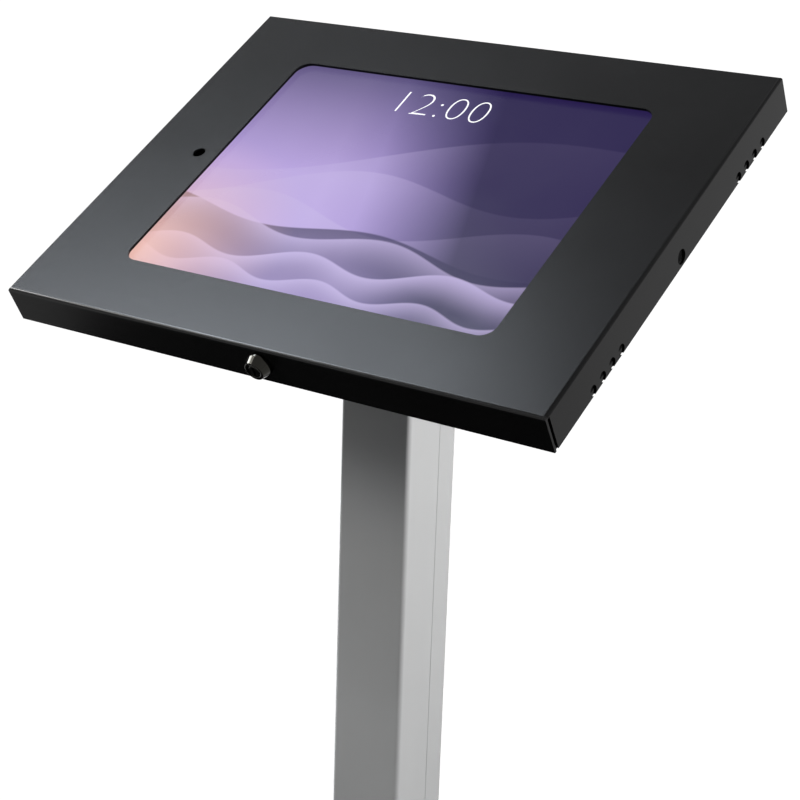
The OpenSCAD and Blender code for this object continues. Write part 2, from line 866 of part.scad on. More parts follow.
module cover_hinge_leaves() color("#2a2b2d") {
    rise = hinge_depth - cover_depth + leaf_reach;
    end_knuckle = (hinge_l - mid_knuckle) / 2 - run_gap;
    at_hinges() difference() {
        union() {
            for (side = [0, 1])
                mirror([side, 0, 0]) translate([mid_knuckle / 2 + run_gap, 0, 0]) {
                    rod_x(knuckle_r, 0, end_knuckle);
                    translate([0, knuckle_r - leaf_t, 0]) cube([end_knuckle, leaf_t, rise]);
                }
            translate([-hinge_l / 2, knuckle_r - leaf_t, leaf_clear])
                cube([hinge_l, leaf_t, rise - leaf_clear]);
        }
        hinge_bore();
    }
}

module tray_hinge_leaves() color("#2a2b2d") {
    leaf_z = hinge_depth - floor_depth - leaf_t;
    at_hinges() difference() {
        union() {
            rod_x(knuckle_r, -mid_knuckle / 2, mid_knuckle / 2);
            translate([-mid_knuckle / 2, -leaf_reach, leaf_z]) cube([mid_knuckle, leaf_reach, leaf_t]);
            translate([-hinge_l / 2, -leaf_reach, leaf_z]) cube([hinge_l, leaf_reach - leaf_clear, leaf_t]);
        }
        hinge_bore();
    }
}

module hinge_pins() color("#8d8f92") {
    seat = hinge_l / 2 + slip;
    at_hinges() {
        rod_x(hinge_pin_r, -seat - join, seat + join);
        for (side = [0, 1])
            mirror([side, 0, 0]) rod_x(hinge_pin_r + pin_head, seat, seat + pin_head);
    }
}

// Lock, drawn in the case's frame on its own axis

module at_lock() {
    in_case(lock_depth) translate([lock_u, 0, 0]) children();
}

// Half section of the bezel: a straight rim, a taper, a bevelled lip and a dish round the core
module bezel_section() {
    lip_r = bezel_r - bezel_taper;
    polygon([[0, 0], [bezel_r, 0], [bezel_r, bezel_rim], [lip_r, lock_bezel_h - bezel_bevel],
        [lip_r - bezel_bevel, lock_bezel_h], [dish_r, lock_bezel_h], [core_r, lock_bezel_h - dish_depth],
        [0, lock_bezel_h - dish_depth]]);
}

module lock_barrel() color("#55565a") {
    front = -cover_l / 2;
    at_lock() difference() {
        union() {
            translate([0, front, 0]) rotate([90, 0, 0]) rotate_extrude() bezel_section();
            barrel_section(lock_r, lock_flat, front - join, lock_end);
        }
        rod_y(core_r + run_fit, front - lock_bezel_h - cut, lock_end + cut);
    }
}

module lock_nut() color("#8d8f92") {
    at_lock() difference() {
        translate([0, -flange_v, 0]) rotate([-90, 0, 0]) cylinder(r = lock_nut_r, h = lock_nut_t, $fn = 6);
        rod_y(lock_r + run_fit, -flange_v - cut, -flange_v + lock_nut_t + cut);
    }
}

module lock_plug() color("#3a3b3f") {
    front = -cover_l / 2 - lock_bezel_h;
    at_lock() difference() {
        union() {
            rod_y(core_r, front + core_recess, cam_front);
            translate([-post_side / 2, cam_front - join, -post_side / 2])
                cube([post_side, cam_t + join, post_side]);
        }
        translate([-key_w / 2, front, -key_l / 2]) cube([key_w, key_depth, key_l]);
        rod_y(cam_screw_r + run_fit, cam_front - cam_screw_l, cam_front + cam_t + cut);
    }
}

module lock_cam() color("#a3a5a8") {
    hole = post_side + slip;
    at_lock() translate([0, cam_front, 0]) difference() {
        rotate([90, 0, 0]) mirror([0, 0, 1]) linear_extrude(cam_t) {
            circle(cam_half);
            translate([-cam_half, cam_tip - cam_reach]) square([2 * cam_half, cam_reach - cam_tip]);
            translate([cam_tip - cam_half, -cam_reach]) square([2 * (cam_half - cam_tip), cam_reach]);
        }
        translate([-hole / 2, -cut, -hole / 2]) cube([hole, cam_t + 2 * cut, hole]);
    }
}

module cam_screw() color("#8d8f92") {
    at_lock() translate([0, cam_front + cam_t, 0]) rotate([-90, 0, 0])
        button_screw(cam_screw_r, cam_head_r, cam_head_h, cam_screw_l);
}

module rivet_places() {
    for (side = [-1, 1])
        translate([lock_u + side * rivet_u, strike_front - (strike_foot + bend_in) / 2, 0]) children();
}

// Quarter of a sheet's fold round the centre of its bend
module quarter_fold(turn) {
    rotate(turn) intersection() {
        difference() {
            circle(bend_in + sheet);
            circle(bend_in);
        }
        square(bend_in + sheet);
    }
}

// Side view of the strike: a foot, an upright and a lip, folded from one sheet
module strike_section(height) {
    fold = bend_in + sheet;
    translate([-strike_foot, 0]) square([strike_foot - bend_in, sheet]);
    translate([-bend_in, fold]) quarter_fold(270);
    translate([0, fold]) square([sheet, height - 2 * fold]);
    translate([fold, height - fold]) quarter_fold(90);
    translate([fold, height - sheet]) square([strike_lip - fold, sheet]);
}

// Upright on the tray whose two lips keep the turned cam from lifting
module lock_strike() color("#2a2b2d") {
    height = floor_in - lip_under + sheet;
    in_case(floor_in) difference() {
        translate([lock_u, strike_front, 0]) rotate([90, 0, 90])
            linear_extrude(2 * strike_half, center = true) strike_section(height);
        translate([lock_u - strike_slot, strike_front - cut, floor_in - lock_depth - lock_r - strike_room])
            cube([2 * strike_slot, strike_lip + 2 * cut, height]);
        translate([0, 0, -cut]) rivet_places() cylinder(r = rivet_r + run_fit, h = sheet + 2 * cut);
    }
}

module strike_rivets() color("#8d8f92") {
    in_case(floor_depth) rivet_places() {
        cylinder(r = rivet_r, h = 2 * sheet);
        translate([0, 0, 2 * sheet]) cylinder(r = rivet_tail_r, h = rivet_tail_h);
        translate([0, 0, -rivet_head_h])
            cylinder(r1 = rivet_head_r * button_taper, r2 = rivet_head_r, h = rivet_head_h);
    }
}

base_plate();
base_feet();
foot_plate();
foot_screws();
pole_channel();
cover_posts();
pole_rear_cover();
rear_cover_screws();
cable_exit();
pole_head();
pole_head_screws();
tilt_bolt();
tilt_nut();
tilt_washers();
tilt_bracket();
swivel_plate();
swivel_ring();
stop_pin();
swivel_screws();
back_tray();
tray_hinge_leaves();
hinge_pins();
lock_strike();
strike_rivets();
cable_grommet();
tablet_cradles();
cradle_screws();
tablet_shell();
tablet_bezel();
tablet_display();
tablet_camera();
front_cover();
cover_hinge_leaves();
window_gasket();
lock_barrel();
lock_nut();
lock_plug();
lock_cam();
cam_screw();
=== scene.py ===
"""Looks of a tablet kiosk stand: finishes, fasteners, lock, screen and stage round its CAD frame."""

import json
import math

import bpy
from bpy.props import FloatProperty, FloatVectorProperty, PointerProperty, StringProperty
from mathutils import Matrix, Vector


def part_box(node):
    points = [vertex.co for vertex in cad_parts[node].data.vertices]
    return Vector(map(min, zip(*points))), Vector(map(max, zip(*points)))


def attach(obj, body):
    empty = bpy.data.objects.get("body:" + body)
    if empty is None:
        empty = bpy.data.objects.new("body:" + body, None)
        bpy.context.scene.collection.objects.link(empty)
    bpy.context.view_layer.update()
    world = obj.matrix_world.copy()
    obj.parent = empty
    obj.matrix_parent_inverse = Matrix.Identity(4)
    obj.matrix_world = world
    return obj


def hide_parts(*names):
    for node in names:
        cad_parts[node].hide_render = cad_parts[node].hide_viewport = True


bl_info = {
    "name": "Tablet kiosk stand",
    "version": (1, 0, 0),
    "blender": (4, 5, 0),
    "location": "View3D > Sidebar > Kiosk",
    "description": "Models and finishes a tablet kiosk stand round its CAD frame",
    "category": "Object",
}

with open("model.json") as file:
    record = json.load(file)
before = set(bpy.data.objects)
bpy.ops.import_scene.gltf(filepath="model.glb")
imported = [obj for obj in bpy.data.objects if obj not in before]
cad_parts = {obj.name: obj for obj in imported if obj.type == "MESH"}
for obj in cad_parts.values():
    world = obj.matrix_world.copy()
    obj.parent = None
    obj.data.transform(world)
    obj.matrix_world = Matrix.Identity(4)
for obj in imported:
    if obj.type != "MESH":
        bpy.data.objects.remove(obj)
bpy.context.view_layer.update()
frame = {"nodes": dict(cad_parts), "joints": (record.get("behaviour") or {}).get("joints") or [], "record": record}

# Places that the CAD frame gives

MM = 0.001
UP = Vector((0, 0, 1))
JOINTS = {joint["name"]: joint for joint in frame["joints"]}
SLOT_OF = {part["node"]: part["material_slot"] for part in frame["record"]["subparts"]}
TILT_AT = Vector(JOINTS["tilt"]["pos_m"])
SWIVEL_AXIS = Vector(JOINTS["swivel"]["axis"])
FACE_TILT = math.atan2(SWIVEL_AXIS.y, -SWIVEL_AXIS.z)
# The head's own axes: X to the right, Y up the slope of the screen, Z out of the screen
HEAD = Matrix.Translation(TILT_AT) @ Matrix.Rotation(FACE_TILT, 4, "X")
LOCK_AT = HEAD.inverted() @ Vector(JOINTS["lock_turn"]["pos_m"])


def places_of(node, axes=None):
    """Every corner of a CAD node's mesh, measured along the given axes."""
    back = axes.inverted() if axes else Matrix.Identity(4)
    return [back @ vertex.co for vertex in frame["nodes"][node].data.vertices]


def box_round(places):
    """Lowest and highest corner of some places."""
    low = Vector([min(place[k] for place in places) for k in range(3)])
    high = Vector([max(place[k] for place in places) for k in range(3)])
    return low, high


def head_box(node):
    """Box of a CAD node along the tilted head's axes."""
    return box_round(places_of(node, HEAD))


def solid_boxes(node, reach, axes=None):
    """Boxes of a CAD node's separate solids, which lie further apart than each one reaches."""
    groups = []
    for place in places_of(node, axes):
        near = [group for group in groups if (group[0] - place).length < reach]
        if near:
            near[0].append(place)
        else:
            groups.append([place])
    return [box_round(group) for group in groups]


def underside(box):
    """Middle of a box's underside."""
    low, high = box
    return Vector(((low.x + high.x) / 2, (low.y + high.y) / 2, low.z))


# Sizes and colours that a user would change


def colour_prop(name, description, default):
    return FloatVectorProperty(name=name, description=description, default=default, size=3, min=0, max=1,
                               subtype="COLOR")


def length_prop(name, description, default):
    return FloatProperty(name=name, description=description, default=default, min=0, unit="LENGTH")


class KioskFinishes(bpy.types.PropertyGroup):
    """Colours of the stand's surfaces and of its lit screen."""

    coat: colour_prop("Black coat", "Powder coat of the enclosure, base and head", (0.0051, 0.0051, 0.0053))
    pole: colour_prop("Pole coat", "Silver-grey coat of the pole", (0.40, 0.405, 0.41))
    zinc: colour_prop("Zinc", "Bright zinc plate of screws, pins and washers", (0.58, 0.58, 0.57))
    chrome: colour_prop("Dark chrome", "Polished plate of the lock", (0.022, 0.0215, 0.019))
    rubber: colour_prop("Rubber", "Feet, grommet, cradles and gasket", (0.012, 0.012, 0.0125))
    plastic: colour_prop("Plastic", "Moulded cable exit", (0.016, 0.016, 0.017))
    shell: colour_prop("Tablet shell", "Anodised aluminium of the tablet", (0.46, 0.465, 0.48))
    border: colour_prop("Border glass", "Dark border round the display", (0.0035, 0.0035, 0.004))
    screen_light: colour_prop("Screen light", "Lilac of the screen's left side", (0.47, 0.36, 0.72))
    screen_mid: colour_prop("Screen middle", "Violet of the screen's middle", (0.19, 0.14, 0.43))
    screen_dusk: colour_prop("Screen dusk", "Dim violet along the screen's upper side", (0.055, 0.047, 0.135))
    screen_deep: colour_prop("Screen deep", "Indigo of the screen's right side", (0.021, 0.013, 0.072))
    screen_glow: colour_prop("Screen glow", "Warm glow in the lower left corner", (0.93, 0.55, 0.42))
    screen_crest: colour_prop("Wave crests", "Pale lilac of the wave crests", (0.54, 0.45, 0.75))


class KioskDetails(bpy.types.PropertyGroup):
    """Sizes of what is modelled beyond the CAD solids."""

    thread_pitch: length_prop("Thread pitch", "Distance between the rings of a thread", 0.8 * MM)
    edge_round: length_prop("Edge round", "Softened edge of cut sheet and plates", 0.22 * MM)
    weld_r: length_prop("Weld bead", "Radius of the weld bead at the foot of the pole", 2.3 * MM)
    weld_step: length_prop("Weld ripple", "Distance between the ripples of the weld bead", 1.7 * MM)
    clock_h: length_prop("Clock height", "Height of the clock's digits on the screen", 17 * MM)
    clock_up: length_prop("Clock up", "Middle of the clock above the middle of the screen", 60 * MM)
    clock_left: length_prop("Clock left", "Middle of the clock left of the middle of the screen", 7.5 * MM)


def finishes():
    return bpy.context.scene.kiosk_finishes


def details():
    return bpy.context.scene.kiosk_details


# Modelling by hand: primitives, edit-mode operators and applied modifiers

SEAM = 0.002 * MM  # corners closer than this are one corner
FLAT_ANGLE = math.radians(0.1)  # faces that differ by less are one flat face
EDGE_ANGLE = math.radians(40)  # edges that turn by more are softened


def pick(piece):
    """Selects a piece alone and makes it the active one."""
    bpy.ops.object.select_all(action="DESELECT")
    piece.select_set(True)
    bpy.context.view_layer.objects.active = piece


def add_primitive(name, add, **values):
    """Adds a primitive with nothing else selected, and names it."""
    bpy.ops.object.select_all(action="DESELECT")
    add(**values)
    piece = bpy.context.object
    piece.name = name
    return piece


def start_edit(piece):
    pick(piece)
    bpy.ops.object.mode_set(mode="EDIT")


def end_edit():
    bpy.ops.object.mode_set(mode="OBJECT")


def apply_all(piece):
    """Applies a piece's modifiers in order."""
    pick(piece)
    for modifier in list(piece.modifiers):
        bpy.ops.object.modifier_apply(modifier=modifier.name)


def clean(piece):
    """Closes seams and turns all faces outwards."""
    start_edit(piece)
    bpy.ops.mesh.select_all(action="SELECT")
    bpy.ops.mesh.remove_doubles(threshold=SEAM)
    bpy.ops.mesh.normals_make_consistent(inside=False)
    end_edit()


def lathe(name, outline, steps=64):
    """A turned piece: an outline of (radius, height) points, drawn from one vertex and spun round Z."""
    piece = add_primitive(name, bpy.ops.mesh.primitive_plane_add, size=2 * MM)
    bpy.ops.object.mode_set(mode="EDIT")
    bpy.ops.mesh.select_all(action="SELECT")
    bpy.ops.mesh.merge(type="CENTER")
    bpy.ops.transform.translate(value=(outline[0][0], 0, outline[0][1]))
    for here, there in zip(outline, outline[1:]):
        step = (there[0] - here[0], 0, there[1] - here[1])
        bpy.ops.mesh.extrude_region_move(TRANSFORM_OT_translate={"value": step})
    bpy.ops.mesh.select_all(action="SELECT")
    bpy.ops.mesh.spin(steps=steps, angle=2 * math.pi, center=(0, 0, 0), axis=(0, 0, 1))
    end_edit()
    clean(piece)
    return piece


def prism(name, sides, across_corners, low, high):
    """A prism along Z between two heights."""
    piece = add_primitive(name, bpy.ops.mesh.primitive_cylinder_add, vertices=sides,
                          radius=across_corners / 2, depth=high - low)
    return move(piece, Matrix.Translation((0, 0, (low + high) / 2)))


def block(name, low, high):
    """A box between two corners."""
    piece = add_primitive(name, bpy.ops.mesh.primitive_cube_add, size=1)
    size = [top - bottom for bottom, top in zip(low, high)]
    middle = [(top + bottom) / 2 for bottom, top in zip(low, high)]
    return move(piece, Matrix.Translation(middle) @ Matrix.Diagonal((*size, 1)))


def move(piece, matrix):
    """Puts a piece in its place and writes the place into its mesh."""
    pick(piece)
    piece.matrix_world = matrix @ piece.matrix_world
    bpy.ops.object.transform_apply(location=True, rotation=True, scale=True)
    return piece


def carve(piece, tool, operation="DIFFERENCE"):
    """Cuts a piece with another, or keeps what both hold, and removes the tool."""
    cut = piece.modifiers.new("carve", "BOOLEAN")
    cut.operation = operation
    cut.solver = "EXACT"
    cut.object = tool
    apply_all(piece)
    bpy.data.objects.remove(tool)
    clean(piece)
    return piece


def join(pieces, name):
    """Joins pieces into one object."""
    bpy.ops.object.select_all(action="DESELECT")
    for piece in pieces:
        piece.select_set(True)
    bpy.context.view_layer.objects.active = pieces[0]
    if len(pieces) > 1:
        bpy.ops.object.join()
    pieces[0].name = name
    return pieces[0]


def repeat(model, matrices, name):
    """Copies a finished model, each copy with its own mesh, to its places and joins them."""
    copies = []
    for matrix in matrices:
        copy = model.copy()
        copy.data = model.data.copy()
        bpy.context.scene.collection.objects.link(copy)
        copies.append(move(copy, matrix))
    bpy.data.objects.remove(model)
    return join(copies, name)


def facing(place, axis):
    """Matrix that stands a piece modelled along Z on a place, along an axis."""
    turn = UP.rotation_difference(Vector(axis)).to_matrix().to_4x4()
    return Matrix.Translation(place) @ turn


def arc(middle, radius, start, end, count=6):
    """Points of a round stretch of an outline, in degrees."""
    angles = [math.radians(start + (end - start) * n / count) for n in range(count + 1)]
    return [(middle[0] + radius * math.cos(a), middle[1] + radius * math.sin(a)) for a in angles]


def dress(piece, body, slot, replaced=(), smooth=30):
    """Hands a finished piece to its body, with its finish and the CAD nodes that it stands for."""
    pick(piece)
    bpy.ops.object.shade_smooth_by_angle(angle=math.radians(smooth))
    piece.data.materials.clear()
    piece.data.materials.append(bpy.data.materials[FINISH_NAME[slot]])
    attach(piece, body)
    if replaced:
        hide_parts(*replaced)
    return piece


def soften(node, width):
    """Rounds the sharp edges of a CAD node, with live modifiers; each flat face is made whole first."""
    piece = frame["nodes"][node]
    weld = piece.modifiers.new("close_seams", "WELD")
    weld.merge_threshold = SEAM
    whole = piece.modifiers.new("whole_faces", "DECIMATE")
    whole.decimate_type = "DISSOLVE"
    whole.angle_limit = FLAT_ANGLE
    bevel = piece.modifiers.new("soft_edges", "BEVEL")
    bevel.width = width
    bevel.segments = 2
    bevel.limit_method = "ANGLE"
    bevel.angle_limit = EDGE_ANGLE
    bevel.use_clamp_overlap = True
    weighted = piece.modifiers.new("flat_faces", "WEIGHTED_NORMAL")
    weighted.keep_sharp = True


# Shared shader groups


def new_group(name, inputs, outputs):
    """A shader node group with named sockets: inputs as (name, kind, default), outputs as (name, kind)."""
    group = bpy.data.node_groups.new(name, "ShaderNodeTree")
    for socket, kind, default in inputs:
        made = group.interface.new_socket(socket, in_out="INPUT", socket_type=kind)
        if default is not None:
            made.default_value = default
    for socket, kind in outputs:
        group.interface.new_socket(socket, in_out="OUTPUT", socket_type=kind)
    return group, group.nodes.new("NodeGroupInput"), group.nodes.new("NodeGroupOutput")


def set_inputs(node, values):
    """Sets a node's inputs by their names."""
    for name, value in values.items():
        node.inputs[name].default_value = value


def math_node(tree, operation, first, second=None, third=None, clamp=False):
    """A Math node whose inputs are sockets or numbers; gives its output."""
    made = tree.nodes.new("ShaderNodeMath")
    made.operation = operation
    made.use_clamp = clamp
    for socket, value in zip(made.inputs, (first, second, third)):
        if value is None:
            continue
        if isinstance(value, (int, float)):
            socket.default_value = value
        else:
            tree.links.new(value, socket)
    return made.outputs[0]


def noise_node(tree, vector, scale, detail=2.0, rough=0.5):
    """A Noise texture; gives its factor."""
    made = tree.nodes.new("ShaderNodeTexNoise")
    set_inputs(made, {"Detail": detail, "Roughness": rough})
    tree.links.new(vector, made.inputs["Vector"])
    if isinstance(scale, (int, float)):
        made.inputs["Scale"].default_value = scale
    else:
        tree.links.new(scale, made.inputs["Scale"])
    return made.outputs["Fac"]


def blend_colours(tree, factor, first, second):
    """A colour Mix node whose inputs are sockets or colours; gives its result."""
    made = tree.nodes.new("ShaderNodeMix")
    made.data_type = "RGBA"
    tree.links.new(factor, made.inputs["Factor"])
    for name, value in (("A_Color", first), ("B_Color", second)):
        socket = next(s for s in made.inputs if s.identifier == name)
        if hasattr(value, "is_linked"):
            tree.links.new(value, socket)
        else:
            socket.default_value = (*value, 1.0)
    return next(s for s in made.outputs if s.identifier == "Result_Color")


def map_range(tree, value, before, after, smooth=False):
    """Maps a value from one range to another, evenly or with soft ends; gives the result."""
    made = tree.nodes.new("ShaderNodeMapRange")
    if smooth:
        made.interpolation_type = "SMOOTHSTEP"
    set_inputs(made, {"From Min": before[0], "From Max": before[1], "To Min": after[0], "To Max": after[1]})
    tree.links.new(value, made.inputs["Value"])
    return made.outputs["Result"]


def split_vector(tree, vector):
    """The X, Y and Z of a vector."""
    made = tree.nodes.new("ShaderNodeSeparateXYZ")
    tree.links.new(vector, made.inputs[0])
    return made.outputs


def make_grain_group():
    """Fine grain of a sprayed or moulded surface, and the slow mottle across it."""
    group, given, made = new_group(
        "surface_grain",
        [("Vector", "NodeSocketVector", None), ("Grain Scale", "NodeSocketFloat", 2000.0),
         ("Mottle Scale", "NodeSocketFloat", 14.0)],
        [("Height", "NodeSocketFloat"), ("Mottle", "NodeSocketFloat")])
    fine = noise_node(group, given.outputs["Vector"], given.outputs["Grain Scale"], detail=3.0, rough=0.55)
    slow = noise_node(group, given.outputs["Vector"], given.outputs["Mottle Scale"], detail=4.0, rough=0.6)
    group.links.new(fine, made.inputs["Height"])
    group.links.new(slow, made.inputs["Mottle"])


SCRATCH_SCALE = (40.0, 3.0, 3.0)  # scratches are fine along X and long across it


def make_smudge_group():
    """Faint handling marks that change how sharply a polished surface reflects."""
    group, given, made = new_group(
        "handling_marks",
        [("Vector", "NodeSocketVector", None), ("Scale", "NodeSocketFloat", 60.0)],
        [("Smudge", "NodeSocketFloat"), ("Scratch", "NodeSocketFloat")])
    cloud = noise_node(group, given.outputs["Vector"], given.outputs["Scale"], detail=5.0, rough=0.62)
    stretched = group.nodes.new("ShaderNodeMapping")
    set_inputs(stretched, {"Scale": SCRATCH_SCALE})
    group.links.new(given.outputs["Vector"], stretched.inputs["Vector"])
    streak = noise_node(group, stretched.outputs["Vector"], given.outputs["Scale"], detail=2.0)
    group.links.new(cloud, made.inputs["Smudge"])
    group.links.new(streak, made.inputs["Scratch"])


CREST_EDGE = 0.006  # soft edge of a wave's crest, as a share of the screen's height
CREST_FADE = 1.6  # how steeply a wave fades below its crest


def make_wave_group():
    """One wave across the screen: bright along its crest and fading below it."""
    numbers = ("Height", "Slope", "Swing", "Wavelength", "Phase", "Depth")
    group, given, made = new_group(
        "screen_wave",
        [("Vector", "NodeSocketVector", None)] + [(name, "NodeSocketFloat", 0.1) for name in numbers],
        [("Mask", "NodeSocketFloat")])
    across, up, _ = split_vector(group, given.outputs["Vector"])
    turns = math_node(group, "DIVIDE", across, given.outputs["Wavelength"])
    angle = math_node(group, "MULTIPLY_ADD", turns, 2 * math.pi, given.outputs["Phase"])
    swing = math_node(group, "MULTIPLY", math_node(group, "SINE", angle), given.outputs["Swing"])
    level = math_node(group, "MULTIPLY_ADD", across, given.outputs["Slope"], given.outputs["Height"])
    below = math_node(group, "SUBTRACT", math_node(group, "ADD", level, swing), up)
    spent = math_node(group, "DIVIDE", below, given.outputs["Depth"])
    fade = math_node(group, "SUBTRACT", 1.0, spent, clamp=True)
    edge = math_node(group, "DIVIDE", below, CREST_EDGE, clamp=True)
    soft = math_node(group, "POWER", fade, CREST_FADE)
    group.links.new(math_node(group, "MULTIPLY", soft, edge), made.inputs["Mask"])


# Materials

BUMP_STRENGTH = 0.5
NOISE_RANGE = (0.3, 0.7)  # where a noise texture's factor mostly lies
MARK_TONE = 0.93  # tone of a scratch on a polished surface
FOLD_POLISH = (1.2 * MM, 1.8 * MM)  # how far from the fold's corner its polish is whole, and where it ends
FOLD_IOR = 1.19
FOLD_ROUGH = 0.24
GLASS_IOR = 1.12  # low, as on glass that is coated against glare


def new_material(name):
    """A material with its shader, and the Object coordinates that its patterns follow."""
    material = bpy.data.materials.new(name)
    material.use_nodes = True
    tree = material.node_tree
    shader = tree.nodes["Principled BSDF"]
    place = tree.nodes.new("ShaderNodeTexCoord").outputs["Object"]
    return material, tree, shader, place


def add_group(tree, group_name, place, **values):
    """Places a shared group in a material with its own values."""
    made = tree.nodes.new("ShaderNodeGroup")
    made.node_tree = bpy.data.node_groups[group_name]
    tree.links.new(place, made.inputs["Vector"])
    set_inputs(made, {name.replace("_", " "): value for name, value in values.items()})
    return made


def add_bump(tree, shader, height, depth):
    """Bump of a given depth, in metres, into the shader's normal."""
    bump = tree.nodes.new("ShaderNodeBump")
    set_inputs(bump, {"Distance": depth, "Strength": BUMP_STRENGTH})
    tree.links.new(height, bump.inputs["Height"])
    tree.links.new(bump.outputs["Normal"], shader.inputs["Normal"])


def spread(tree, factor, low, high):
    """Maps a noise factor's usual range to a range of values."""
    return map_range(tree, factor, NOISE_RANGE, (low, high))


def grained(name, colour, rough, grain, depth, contrast=0.12, ior=1.5, metallic=0.0):
    """A sprayed, moulded or blasted surface with grain in its bump, tone and gloss."""
    material, tree, shader, place = new_material(name)
    group = add_group(tree, "surface_grain", place, Grain_Scale=grain)
    tone = spread(tree, group.outputs["Mottle"], 0.0, 1.0)
    dark = [part * (1 - contrast) for part in colour]
    light = [part * (1 + contrast) for part in colour]
    tree.links.new(blend_colours(tree, tone, dark, light), shader.inputs["Base Color"])
    tree.links.new(spread(tree, group.outputs["Mottle"], *rough), shader.inputs["Roughness"])
    set_inputs(shader, {"IOR": ior, "Metallic": metallic})
    add_bump(tree, shader, group.outputs["Height"], depth)
    return material


def head_coordinates(tree, place, middle, scale=(1, 1, 1)):
    """Places along the head's axes, counted from a middle on the head in steps of a scale."""
    made = tree.nodes.new("ShaderNodeMapping")
    made.vector_type = "TEXTURE"
    set_inputs(made, {"Location": HEAD @ middle, "Rotation": (FACE_TILT, 0, 0), "Scale": scale})
    tree.links.new(place, made.inputs["Vector"])
    return made.outputs["Vector"]


def polish_front_fold(material):
    """Makes the coat more reflective along the cover's rounded front edge, where hands polish it."""
    tree = material.node_tree
    shader = tree.nodes["Principled BSDF"]
    place = tree.nodes.new("ShaderNodeTexCoord").outputs["Object"]
    low, high = head_box("front_cover")
    _, inward, down = split_vector(tree, head_coordinates(tree, place, Vector((0, low.y, high.z))))
    away = math_node(tree, "MAXIMUM", math_node(tree, "ABSOLUTE", inward), math_node(tree, "ABSOLUTE", down))
    tree.links.new(map_range(tree, away, FOLD_POLISH, (1.0, 0.0)), shader.inputs["Coat Weight"])
    set_inputs(shader, {"Coat IOR": FOLD_IOR, "Coat Roughness": FOLD_ROUGH})


def polished(name, colour, rough, scale, ior=1.5, metallic=1.0):
    """A plated or glassy surface with faint handling marks."""
    _, tree, shader, place = new_material(name)
    group = add_group(tree, "handling_marks", place, Scale=scale)
    tone = spread(tree, group.outputs["Scratch"], 0.0, 1.0)
    dark = [part * MARK_TONE for part in colour]
    tree.links.new(blend_colours(tree, tone, dark, colour), shader.inputs["Base Color"])
    tree.links.new(spread(tree, group.outputs["Smudge"], *rough), shader.inputs["Roughness"])
    set_inputs(shader, {"IOR": ior, "Metallic": metallic})


# Waves on the screen: height, slope, swing, wavelength, phase and depth of each one, how strongly it shows,
# how much of it fades towards the right, and its colour
SCREEN_WAVES = (
    (0.16, 0.30, 0.060, 1.15, 0.4, 0.50, 0.30, 0.9, "screen_crest"),
    (0.00, 0.16, 0.075, 0.90, 2.2, 0.40, 0.38, 0.9, "screen_crest"),
    (-0.14, 0.02, 0.060, 0.74, 4.1, 0.30, 0.45, 0.85, "screen_crest"),
    (-0.21, -0.06, 0.030, 0.62, 0.9, 0.80, 0.80, 0.0, "screen_deep"),
    (-0.23, -0.08, 0.035, 0.50, 0.2, 0.13, 0.80, 0.35, "screen_crest"),
    (-0.33, 0.05, 0.030, 0.36, 2.6, 0.12, 0.90, 0.2, "screen_crest"),
    (-0.42, -0.03, 0.022, 0.27, 1.2, 0.10, 0.80, 0.2, "screen_crest"),
)
# The sweep of violet: its slant, and how fast and from what share it turns to each colour
SWEEP_SLANT = 0.25
TO_MID = (2.4, 0.40)
TO_DEEP = (3.6, 0.18)
# The dusk along the upper side: how fast it rises, and how much of it there is at most
DUSK_RISE = 2.0
DUSK_SHARE = 0.85
# The glow in the lower left corner: its middle, how wide it lies, its reach, its fall and its share
GLOW_MIDDLE = (-0.52, -0.44)
GLOW_FLAT = 0.75
GLOW_REACH = 0.42
GLOW_FALL = 1.3
GLOW_SHARE = 0.9
DISPLAY_BLACK = (0.004, 0.004, 0.005, 1.0)


